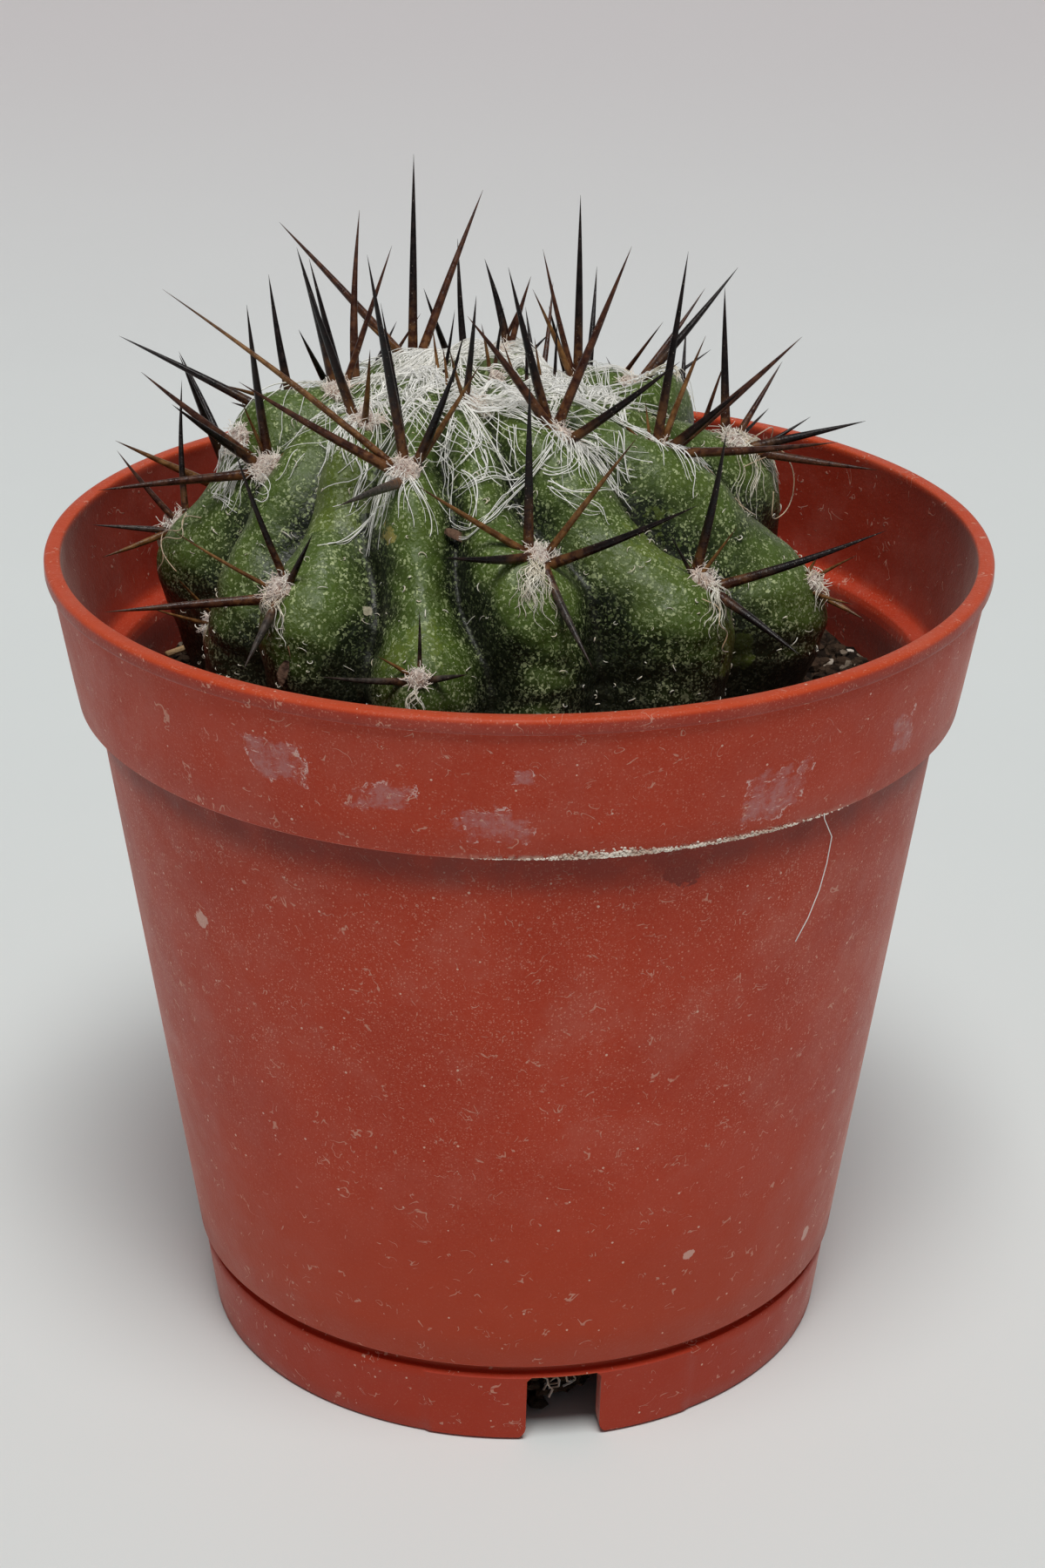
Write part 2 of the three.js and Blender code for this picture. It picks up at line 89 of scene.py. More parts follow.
DRAIN_NEAR = -18.4
DRAIN_FAR = -14.2
DRAIN_HEIGHTS = (3.8, 6.9)
PANEL_HALF_ANGLE = 24
PANEL_RISE = 0.12
POT_COLUMNS = 360
SHARP_EDGE = 50

# Marks on the pot. Scuffs: centre, half width, half height, lean. Chips: centre, radius.
PATCH_DEPTH = 4
SCUFFS = [
    ((-12.7, -23.4, 45.4), 1.8, 1.2, 0.3), ((-7.0, -25.5, 44.3), 1.6, 0.8, -0.5),
    ((-1.3, -26.2, 43.1), 1.9, 1.05, 0.35), ((13.6, -22.5, 43.4), 1.7, 1.5, -0.25),
    ((0.3, -26.8, 46.1), 0.6, 0.45, 0.0), ((21.0, -16.2, 44.2), 1.0, 1.2, 0.2),
]
CHIPS = [((17.6, -10.5, 9.0), 0.45), ((10.0, -18.3, 12.3), 0.4), ((-17.7, -15.8, 32.4), 0.55)]

# A white hair that hangs down from the band. It is brought out to the pot's surface.
HAIR_PATH = [(16.4, -20.0, 41.1), (16.9, -18.6, 40.0), (17.35, -17.75, 38.6), (17.2, -17.65, 36.9),
             (16.85, -17.65, 35.3), (16.3, -17.9, 33.7), (15.6, -18.25, 32.4)]
HAIR_RADIUS = 0.03

# Limescale: how much of it there is at places along X.
LIMESCALE_LUMPS = 900
LIMESCALE_X = [-2.5, 1.5, 3, 6.5, 8.5, 12, 16, 18]
LIMESCALE_SHARE = [0.08, 0.35, 1.0, 1.0, 0.5, 0.6, 0.3, 0.05]

# Soil.
SOIL_TOP = 38.6
SOIL_MOUND = 0.5
CLEARANCE = 0.35
STEM_GAP = 0.45
STEM_DOWN = 107
BURIED_DOWN = (140, 132, 124, 117, 110, 105, 101)
SOIL_COLUMNS = 220
SOIL_RINGS = 16
SOIL_WALL_Z = (37.8, 30, 20, 10, 6.25)
SLOT_LUMPS = 150
ROOTS = 16
ROOT_STEPS = 12
ROOT_RADIUS = 0.07

# Cactus body, by the same rule as its solid, on a fine grid.
PLANT_X = -1.5
PLANT_RADIUS = 18.0
PLANT_CENTRE_Z = 43.5
PLANT_CAP = 12.9
PLANT_KEEL = 15.5
PLANT_BASE_ANGLE = 140
SHOULDER = 2.05
CROWN_DIP = 1.0
CROWN_DIP_SPREAD = 4
FADE_START = 94
FADE_END = 108
RIBS = np.array([-92, -65, -37, -12, 8, 39, 76, 106, 134, 162, 189, 216, 242, 268.0])
RIB_DEPTH = 3.0
RIB_SHALLOWING = 0.7
FURROW_SOFTNESS = 0.1
TWIST = 0.58
TWIST_START = 75
BUMP_HEIGHT = 2.2
BUMP_LENGTH = 2.7
BUMP_WIDTH = 2.9
BUMP_DROP = 4
YOUNG_BUMP = 0.35
GROWN_RADIUS = 12
RIB_WIDENING = 0.4
SKIN_COLUMNS = 338
SKIN_ROWS = 122
BURIED_ROWS = 8

# Painted shade on the skin's colour, from the height over its surroundings and from how far it faces up.
SMOOTHING_ROUNDS = 70
HEIGHT_SHARE = 0.50
FACING_SHARE = 0.85
FACING_LEVEL = 0.8

# Where the skin is lighter: centre, radius.
LIGHT_PLACES = [
    ((-10.4, -8.5, 55.3), 2.6), ((-5.4, -16.7, 48.6), 1.8), ((12.4, -8.3, 45.8), 1.2),
    ((12.3, -11.7, 47.3), 2.2), ((8, -10, 53), 2.4), ((-9, 9, 52), 3.0),
]

# Spines. Each areole: degrees round, degrees down, and for each spine how far its tip is right, up and
# towards the viewer, its weight, and its tone: 0 black, 1 dark red-brown, 2 ochre, 3 weathered grey.
SPINE_RADII = {1: 0.13, 2: 0.21, 3: 0.29}
SPINE_SPREAD = 0.45
ROOT_SHARE = 0.6
ROOT_DEPTH = 0.1
STEEP_DEPTH = 0.8
SPINE_SIDES = 9
SPINE_STEPS = 14
TIP_GAP = 0.05
LIP_MARGIN = 0.3
WALL_MARGIN = 1
SOIL_MARGIN = 1.2
VIEW_PITCH = 24
AREOLES = [
    (-86, 43.5, [(-0.8, 8.9, 3.4, 3, 0), (-7, 5.3, 1.4, 3, 1), (-4.9, 3.1, 4.4, 3, 0),
        (-1.2, 3.7, 2.4, 1, 2), (2.7, 1.9, 2.4, 1, 2), (-9.3, -1.6, 2.4, 3, 1)]),
    (-97, 68.5, [(0.2, 8.5, 0.1, 2, 0), (-3.5, 4.2, 1.1, 2, 1), (-5.4, -0.2, 1.1, 2, 3),
        (-4.2, -2.2, 2.1, 2, 2)]),
    (-56, 25, [(-3.3, 7.8, 3, 3, 0), (0.5, 3.5, 4, 2, 2)]),
    (-76, 80, [(-3.4, 0.8, 2.1, 1, 2), (-1.6, 2.5, 3.6, 1, 2)]),
    (-25, 33, [(-2, 11.1, 4, 3, 0), (-9, 4.5, 2, 3, 1), (-13.4, 9.8, 0, 2, 2), (3, 5.7, 4, 3, 0),
        (4.1, 5.6, 2, 2, 2), (-3.2, -2.7, 8, 3, 3), (-1.4, 9, 1, 2, 0)]),
    (-42, 61, [(-2.2, 7.3, 3, 2, 0), (2, 2.8, 2.5, 2, 0), (-5.9, 3.2, 1, 1, 2), (-9.4, -1.4, 1, 3, 1),
        (-1.6, -4.6, 3.5, 3, 3), (0.8, -4, 1, 1, 2)]),
    (-10, 15, [(0, 5.8, 3, 2, 0), (-1.5, 3, 3, 1, 2)]),
    (-11.5, 73, [(0.1, 3.6, 1.5, 1, 3), (-5, 0, 2, 2, 3), (2.7, 0.2, 1.6, 2, 3), (-2.2, 1.2, 0.5, 1, 2)]),
    (10.7, 47, [(-0.6, 9, 4, 3, 0), (5.2, 6.2, 3, 2, 2), (8.4, 2.5, 3.5, 3, 0), (-5, -0.5, 5, 3, 0),
        (2.9, -6.3, 3.5, 3, 3), (-6.6, 3.5, 3, 2, 2)]),
    (31, 22, [(-5.3, 6.1, 4, 3, 1), (-3.1, 9.1, 2, 3, 0), (3.7, 10.3, 2, 3, 1), (6.3, 3.7, 4, 3, 0)]),
    (44.5, 58.5, [(1, 7.8, 3, 3, 0), (-1.9, 2.3, 1.2, 1, 0), (9.9, 2.7, 1, 3, 0), (5.2, -4.3, 2.5, 3, 0),
        (1.7, 2.8, 2, 1, 2)]),
    (71, 30.5, [(1.5, 10.8, 2.5, 3, 0), (-0.8, 2.6, 1, 1, 2), (2.6, 6.3, 1, 2, 2), (4.6, 3, 3.5, 3, 0),
        (8, 6.2, 1.5, 3, 1), (-2.5, 1.7, 1, 1, 2), (9.8, 0, 4, 3, 1)]),
    (75, 71, [(2.4, 1.5, 1, 1, 2), (0.2, 1.6, 0.8, 1, 2), (2.8, -2.2, 1, 2, 2), (2, -1.4, 2.2, 1, 2)]),
    (95, 43.5, [(-0.6, 9, 0.2, 3, 0), (2.9, 4.9, -1.3, 2, 1), (7.6, 1.2, 0.7, 3, 0),
        (8.4, -1.6, 0.2, 3, 1), (2.3, 2.4, -3.3, 1, 3)]),
    (130, 31, [(4.6, 6.1, -2, 2, 1), (6.5, 7.2, -1, 3, 0), (3.1, 0.8, 0, 2, 2)]),
    (146, 23, [(0.7, 11.2, 1.3, 3, 0), (-1.5, 8, 1.3, 2, 1), (-2.1, 5.5, 2.3, 2, 2)]),
    (178, 24, [(-1, 5.8, 0.1, 3, 0), (1.8, 4.8, 0.1, 2, 1)]),
    (165, 38, [(0.4, 7.2, -2.1, 2, 1), (-1.3, 5.8, -3.1, 2, 0)]),
    (213, 24, [(-0.4, 12.4, 1.2, 3, 0), (3.7, 10.5, 0.2, 3, 1), (-8.4, 8.5, 0.2, 3, 1),
        (-3.4, 2.6, 1.2, 2, 2)]),
    (240, 30, [(0.5, 11, 0.3, 3, 1), (-2, 5.5, -0.7, 1, 3)]),
    (257, 27, [(-2.3, 7.9, 2.4, 3, 0), (3.1, 8.4, 0.4, 2, 1)]),
    (243, 43, [(-1.3, 8.3, 0.1, 3, 0), (-10.3, 4.7, -0.9, 3, 0), (-3.7, 0.9, -1.9, 2, 3)]),
    (140, 70, None), (162, 62, None), (186, 55, None), (192, 82, None), (214, 56, None), (238, 70, None),
]
# Local swellings and dents: degrees round, degrees down, rise.
SWELLINGS = [
    (-104, 42, 2.2), (-116, 33, -3.3), (-133, 28, 1.4), (-152, 24, -1.7), (-170, 22, 0.2), (177, 30, -0.4),
    (165, 22, 1.9), (150, 25, -3.7), (137, 33, -0.3), (124, 34, 2.3), (110, 43, -0.7), (100, 58, 1.9),
    (101, 69, -0.8), (-92, 72, 1.1), (-90, 83, -0.9), (-68, 84, -1.2), (-96, 54, -1.1),
]
YOUNG_SPINES = [(0.4, 4, 1, 1, 0), (-0.9, 3, 1, 1, 2)]
AREOLES += [(40 + 137.5 * i, 6 + i, YOUNG_SPINES) for i in range(5)]
CENTRAL_LENGTH = 10
CENTRAL_LEAN = 0.35
WHEEL = [(25, 9, 3), (-35, 8, 2), (95, 8.5, 3), (-95, 8.5, 3), (150, 6, 2), (-150, 6, 3)]
WHEEL_RISE = 32
CLOCK_SPREAD = 24
RISE_SPREAD = 20
LENGTH_SPREAD = 0.3

# Felt pads: (share of the size outwards, share of it upwards) of each ring.
PAD_SIDES = 16
PAD_RINGS = [(0.98, -0.8), (0.94, 0.0), (0.80, 0.25), (0.54, 0.42), (0.24, 0.50)]
PAD_TOP = 0.52
PAD_SIZE = 0.86
SMALL_PAD_SIZE = 0.60
YOUNG_PAD_SIZE = 0.5
SMALL_PAD_DOWN = 70
FELT_BAND = [(-93, 45.5, None), (-80, 41.5, None)]
FIBRE_STEPS = 7

# Wool: [degrees round, degrees down, bundles, shortest, longest, width, height, heading, fan].
# Lengths are mm. A heading of 0 degrees runs down the plant, one of 90 runs round it to the right.
CROWN_WOOL = [
    (0, 1, 22, 3, 8, 2.4, 2.2, 90, 50), (-60, 12, 9, 4, 9, 2.2, 1.0, 90, 30),
    (0, 12, 9, 4, 9, 2.4, 0.8, 90, 22), (60, 12, 9, 4, 9, 2.2, 1.0, 90, 28),
    (130, 14, 24, 4, 9, 2.6, 1.2, 90, 30), (180, 14, 24, 4, 9, 2.8, 1.2, 90, 28),
    (-130, 14, 22, 4, 9, 2.6, 1.2, 90, 30), (-90, 20, 8, 3, 7, 1.6, 1.0, 75, 35),
    (95, 20, 8, 3, 7, 1.6, 1.0, 105, 35), (180, 22, 16, 3, 7, 4.0, 1.0, 90, 40),
    (150, 22, 10, 2, 5, 1.5, 0.8, 60, 50), (213, 23, 10, 2, 5, 1.2, 0.6, 90, 60),
]
HANGING_WOOL = [
    (-25, 34, 10, 2, 4, 0.55, 0.2, 0, 38), (31, 23.5, 9, 2, 3.8, 0.55, 0.2, 5, 38),
    (33, 23, 3, 3, 5, 0.4, 0.2, 70, 22), (71, 32, 7, 2, 4, 0.5, 0.2, -5, 40),
    (-88, 45.5, 10, 2, 5, 0.8, 0.3, 0, 45), (-56, 26.5, 6, 2, 4, 0.5, 0.3, 10, 40),
    (-17, 21, 2, 3, 5, 1.0, 0.5, 10, 25), (4, 19, 1, 3, 5, 1.2, 0.5, -20, 35),
    (52, 25, 2, 2, 4, 1.0, 0.6, 0, 35),
]
TANGLED_WOOL = [
    (9.5, 50.5, 11, 2.5, 5, 0.22, 0.25, 0, 10), (-42, 62.5, 6, 1, 4, 0.4, 0.3, 0, 60),
    (44.5, 60, 6, 1, 4, 0.4, 0.3, 0, 60), (-11.5, 75.5, 3, 1, 2.5, 0.2, 0.2, 0, 30),
    (98, 45.5, 9, 2, 6, 0.6, 0.4, 0, 60), (75, 72, 4, 1, 3, 0.4, 0.3, 0, 60),
    (-97, 69.5, 5, 1, 4, 0.4, 0.3, 0, 60), (130, 32, 5, 2, 5, 0.6, 0.4, 0, 60),
    (165, 39, 5, 2, 5, 0.6, 0.4, 0, 60), (178, 25, 5, 2, 5, 0.6, 0.4, 0, 60),
    (240, 31, 5, 2, 5, 0.6, 0.4, 0, 60), (243, 44, 5, 2, 5, 0.6, 0.4, 0, 60),
    (140, 71, 4, 1, 4, 0.4, 0.3, 0, 60), (162, 63, 4, 1, 4, 0.4, 0.3, 0, 60),
    (186, 56, 4, 1, 4, 0.4, 0.3, 0, 60), (214, 57, 4, 1, 4, 0.4, 0.3, 0, 60),
    (238, 71, 4, 1, 4, 0.4, 0.3, 0, 60), (192, 83, 3, 1, 3, 0.4, 0.3, 0, 60),
]
# Long strands that are seen one by one: how many together, and the (degrees round, degrees down) they pass.
LONG_WOOL = [
    (7, [(24, 24), (19, 28), (14, 29), (6, 30), (2, 36), (-2, 41), (-5, 42), (-10, 39), (-13, 37),
         (-15, 34)]),
    (6, [(-10, 19), (-6, 23), (-6, 26), (-9, 28), (-15, 28)]),
    (3, [(-32, 12), (-18, 20), (-11, 24), (-5, 25), (2, 23), (6, 24), (6, 27)]),
    (5, [(14, 28), (6, 27), (-3, 31), (-6, 32), (-13, 32)]),
    (4, [(-22, 23), (-18, 26), (-14, 29), (-14, 32), (-12, 36)]),
    (3, [(-5, 25), (-2, 28), (-3, 31), (-8, 32)]),
    (3, [(-11, 29), (-6, 32), (-5, 35), (-5, 37), (-6, 40)]),
    (8, [(-5, 12), (2, 16), (6, 18), (12, 20), (18, 22), (26, 22)]),
    (4, [(16, 28), (18, 31), (22, 32), (26, 31), (35, 24)]),
    (3, [(15, 30), (18, 33), (22, 36), (26, 39), (32, 40)]),
    (2, [(15, 31), (22, 35), (29, 36), (42, 34)]),
    (2, [(26, 36), (28, 39), (30, 42)]),
    (2, [(8, 20), (9, 24), (12, 27)]),
    (3, [(3, 36), (8, 32), (11, 34)]),
    (2, [(6, 20), (9, 24), (8, 25), (8, 27)]),
    (5, [(46, 23), (44, 25), (42, 27), (42, 29)]),
    (4, [(-90, 53), (-89, 56), (-84, 54), (-83, 53)]),
    (2, [(-87, 46), (-74, 44), (-68, 43), (-67, 46), (-84, 49)]),
    (2, [(-72, 34), (-70, 37), (-68, 40), (-69, 42)]),
    (6, [(-45, 31), (-41, 33), (-40, 37), (-39, 40)]),
    (3, [(-29, 39), (-36, 40), (-37, 46), (-41, 49)]),
]
# Degrees down the plant for each mm of the flat map on which the wool is laid out.
DOWN_PER_MM = 3.3

# Loose tan threads: (degrees round, degrees down, height over the skin) along each.
THREADS = [
    [(-86, 60, 0.3), (-89, 63, 0.5), (-85, 66, 0.3), (-89, 69, 0.5), (-86, 72, 0.4), (-88, 76, 0.3)],
    [(-90, 62, 0.3), (-86, 65, 0.5), (-90, 68, 0.4), (-87, 71, 0.5), (-84, 73, 0.2)],
    [(92, 44, 0.2), (97, 47, 0.9), (103, 50, 1.7), (108, 54, 1.6), (103, 57, 1.4), (98, 54, 0.9)],
    [(88, 46, 0.2), (95, 51, 0.8), (100, 57, 1.2), (96, 62, 1.0), (91, 60, 0.5), (93, 55, 0.3)],
    [(72, 36, 0.1), (78, 43, 0.2), (83, 49, 0.25), (80, 54, 0.25), (74, 52, 0.2), (72, 47, 0.15)],
    [(40, 62, 0.2), (43, 65, 0.5), (41, 68, 0.6), (44, 70, 0.5), (42, 73, 0.3), (45, 74, 0.2)],
]
THREAD_STEPS = 40
THREAD_RADIUS = 0.032

# Short curved bits of fibre and scale on the skin.
BITS = 640
BIT_SHAPE = [0.5, 1, 1, 1, 0.8, 0.3]

# Withered scales: degrees round, degrees down, turn, length, half width, curl.
FLAKES = [
    (-36, 73.8, -1.7, 1.4, 0.26, 0.4), (-12.5, 40.5, 0.15, 1.6, 0.26, 0.12), (47, 64, -0.9, 1.4, 0.16, 0.3),
]
FLAKE_RINGS = 9
FLAKE_SIDES = 8


# Helpers: meshes from points, and small sums.

def make_object(name, points, faces, material, smooth=True, values=None):
    mesh = bpy.data.meshes.new(name)
    mesh.from_pydata((np.asarray(points) * MM).tolist(), [], faces)
    for key, data in (values or {}).items():
        attribute = mesh.attributes.new(key, "FLOAT", "POINT")
        attribute.data.foreach_set("value", np.asarray(data, dtype=np.float32))
    mesh.polygons.foreach_set("use_smooth", [smooth] * len(mesh.polygons))
    mesh.materials.append(material)
    mesh.update()
    thing = bpy.data.objects.new(name, mesh)
    COLLECTION.objects.link(thing)
    return thing


def settle(thing, slot, *nodes):
    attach(thing, "root")
    if nodes:
        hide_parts(*nodes)


class Heap:
    """Many small solids in one mesh."""

    def __init__(self):
        self.points = []
        self.faces = []

    def add(self, points, faces):
        self.faces += [[len(self.points) + i for i in face] for face in faces]
        self.points += points

    def made(self, name, material, smooth=False):
        return make_object(name, self.points, self.faces, material, smooth)


def smoothstep(low, high, value):
    t = np.clip((value - low) / (high - low), 0, 1)
    return t * t * (3 - 2 * t)


def unit(v):
    return v / np.maximum(np.linalg.norm(v, axis=-1, keepdims=True), 1e-9)


def draw(a, b):
    wave = math.sin(a * 127.1 + b * 311.7 + 17.3) * 43758.5453
    return wave - math.floor(wave) - 0.5


def grid_faces(rows, columns, closed):
    """Quads between the rows of a grid whose columns close on themselves or not."""
    across = np.arange(columns if closed else columns - 1)
    beside = (across + 1) % columns
    faces = []
    for row in range(rows - 1):
        a = row * columns
        b = a + columns
        faces.append(np.stack([a + across, b + across, b + beside, a + beside], -1))
    return np.concatenate(faces).tolist()


def tubes(paths, radii, sides, corner=0.0):
    """Closed tubes along paths (tubes, steps, 3) with radii (tubes, steps): points and faces."""
    count, steps, _ = paths.shape
    along = unit(np.gradient(paths, axis=1))
    least = np.eye(3)[np.argmin(np.abs(along[:, 0]), axis=1)]
    side = np.zeros_like(along)
    side[:, 0] = unit(np.cross(along[:, 0], least))
    for step in range(1, steps):
        before = side[:, step - 1]
        lean = np.sum(before * along[:, step], -1, keepdims=True)
        side[:, step] = unit(before - lean * along[:, step])
    other = np.cross(along, side)
    turn = 2 * np.pi * np.arange(sides) / sides
    swell = 1 + corner * np.cos(3 * turn)
    ring = np.cos(turn)[:, None] * side[:, :, None] + np.sin(turn)[:, None] * other[:, :, None]
    points = paths[:, :, None] + ring * (radii[:, :, None] * swell)[..., None]
    here = np.arange(sides)
    beside = (here + 1) % sides
    quads = []
    caps = []
    for start in range(0, count * steps * sides, steps * sides):
        end = start + (steps - 1) * sides
        for a in range(start, end, sides):
            quads.append(np.stack([a + here, a + beside, a + sides + beside, a + sides + here], -1))
        caps += [(start + here[::-1]).tolist(), (end + here).tolist()]
    return points.reshape(-1, 3), np.concatenate(quads).tolist() + caps


def strands(name, paths, radii, sides, material, slot):
    """A piece of tubes. Its radii are one number, one for each step, or one for each step of each tube."""
    paths = np.asarray(paths)
    points, faces = tubes(paths, np.broadcast_to(radii, paths.shape[:2]), sides)
    settle(make_object(name, points, faces, material), slot)


# The plant's form, by the same rule as its solid.

def outline(down):
    s = np.sin(np.radians(down))
    c = np.cos(np.radians(down))
    power = 2 / SHOULDER
    height = np.where(c > 0, PLANT_CAP, PLANT_KEEL)
    return PLANT_RADIUS * np.abs(s) ** power, PLANT_CENTRE_Z + height * np.sign(c) * np.abs(c) ** power


def outline_normal(down):
    r0, z0 = outline(np.maximum(down - 1, 0))
    r1, z1 = outline(down + 1)
    length = np.hypot(r1 - r0, z1 - z0)
    return -(z1 - z0) / length, (r1 - r0) / length


def twist(down):
    return TWIST * np.maximum(TWIST_START - down, 0) ** 2 / TWIST_START


def furrow(degrees):
    turn = (degrees - RIBS[0]) % 360 + RIBS[0]
    i = np.clip(np.searchsorted(RIBS, turn, side="right") - 1, 0, len(RIBS) - 2)
    share = (turn - RIBS[i]) / (RIBS[i + 1] - RIBS[i])
    return 1 - np.hypot(np.cos(np.pi * share), FURROW_SOFTNESS)


def nearness(degrees, down, place_degrees, place_down):
    """How near a point of the surface is to a place on it, and how many degrees aside."""
    here_r, here_z = outline(down)
    there_r, there_z = outline(place_down)
    along = np.hypot(here_r - there_r, here_z - there_z) / BUMP_LENGTH
    aside = (degrees - place_degrees + 540) % 360 - 180
    across = np.radians(aside) * np.maximum(here_r, BUMP_WIDTH) / BUMP_WIDTH
    return np.exp(-0.5 * (along * along + across * across)), aside


def tubercles(degrees, down):
    height = 0
    widening = 0
    for areole_turn, areole_down, _ in AREOLES:
        share, aside = nearness(degrees, down, areole_turn, areole_down + BUMP_DROP)
        grown = min(1, YOUNG_BUMP + outline(areole_down + BUMP_DROP)[0] / GROWN_RADIUS)
        height = height + BUMP_HEIGHT * grown * share
        widening = widening + RIB_WIDENING * aside * share
    for swelling_turn, swelling_down, rise in SWELLINGS:
        height = height + rise * nearness(degrees, down, swelling_turn, swelling_down)[0]
    return height, widening


def plant_surface(degrees, down, extra=0.0):
    """The plant's points, its smooth outward directions, and how deep in a furrow each one is."""
    degrees = np.asarray(degrees, float)
    down = np.asarray(down, float)
    r, z = outline(down)
    nr, nz = outline_normal(down)
    height, widening = tubercles(degrees, down)
    depth = RIB_DEPTH * np.abs(np.sin(np.radians(np.minimum(down, 90)))) ** RIB_SHALLOWING
    groove = furrow(degrees + twist(down) - widening)
    fade = 1 - smoothstep(FADE_START, FADE_END, down)
    dip = np.where(down < 90, CROWN_DIP * np.exp(-((r / CROWN_DIP_SPREAD) ** 2)), 0)
    lift = fade * (height - depth * groove) - dip + extra
    radius = r + nr * lift
    t = np.radians(degrees)
    point = np.stack([PLANT_X + radius * np.sin(t), -radius * np.cos(t), z + nz * lift], -1)
    normal = np.stack([nr * np.sin(t), -nr * np.cos(t), nz * np.ones_like(t)], -1)
    return point, normal, groove


def areole_frame(degrees, down):
    at = plant_surface(degrees, down)[0]
    across = unit(plant_surface(degrees + 4, down)[0] - plant_surface(degrees - 4, down)[0])
    up = unit(plant_surface(degrees, down - 3)[0] - plant_surface(degrees, down + 3)[0])
    return at, across, up, unit(np.cross(across, up))


def body_radius(z):
    share = (z - BODY_FOOT_Z) / (BAND_FOOT_Z - BODY_FOOT_Z)
    return BODY_FOOT_RADIUS + share * (BODY_TOP_RADIUS - BODY_FOOT_RADIUS)


def keep_inside(tip):
    radius = math.hypot(tip[0], tip[1])
    over_lip = tip[2] > POT_HEIGHT + 2 * LIP_MARGIN
    limit = LIP_RADIUS - LIP_MARGIN if over_lip else body_radius(min(tip[2], POT_HEIGHT)) - WALL_MARGIN
    if radius > limit:
        tip[:2] *= limit / radius
    tip[2] = max(tip[2], SOIL_TOP + SOIL_MARGIN)
    return tip


def spine_tips(number, place, spines):
    """(tip, weight, tone) of an areole's spines: as seen in the view, or by the wheel's rule."""
    at, across, up, normal = place
    if spines:
        pitch = math.radians(VIEW_PITCH)
        view_up = np.array([0, math.sin(pitch), math.cos(pitch)])
        to_eye = np.array([0, -math.cos(pitch), math.sin(pitch)])
        right = np.array([1.0, 0, 0])
        return [(at + a * right + b * view_up + c * to_eye, weight, tone) for a, b, c, weight, tone in spines]
    tips = [(at + CENTRAL_LENGTH * unit(normal + CENTRAL_LEAN * up), 3, 0)]
    for i, (clock, length, weight) in enumerate(WHEEL):
        turn = math.radians(clock + CLOCK_SPREAD * draw(number, i))
        rise = math.radians(WHEEL_RISE + RISE_SPREAD * draw(number, i + len(WHEEL)))
        reach = length * (1 + LENGTH_SPREAD * draw(number, i + 2 * len(WHEEL)))
        flat = math.cos(rise) * reach
        tip = at + up * math.cos(turn) * flat + across * math.sin(turn) * flat
        tips.append((tip + normal * math.sin(rise) * reach, weight, i % 3))
    return tips


# Materials.

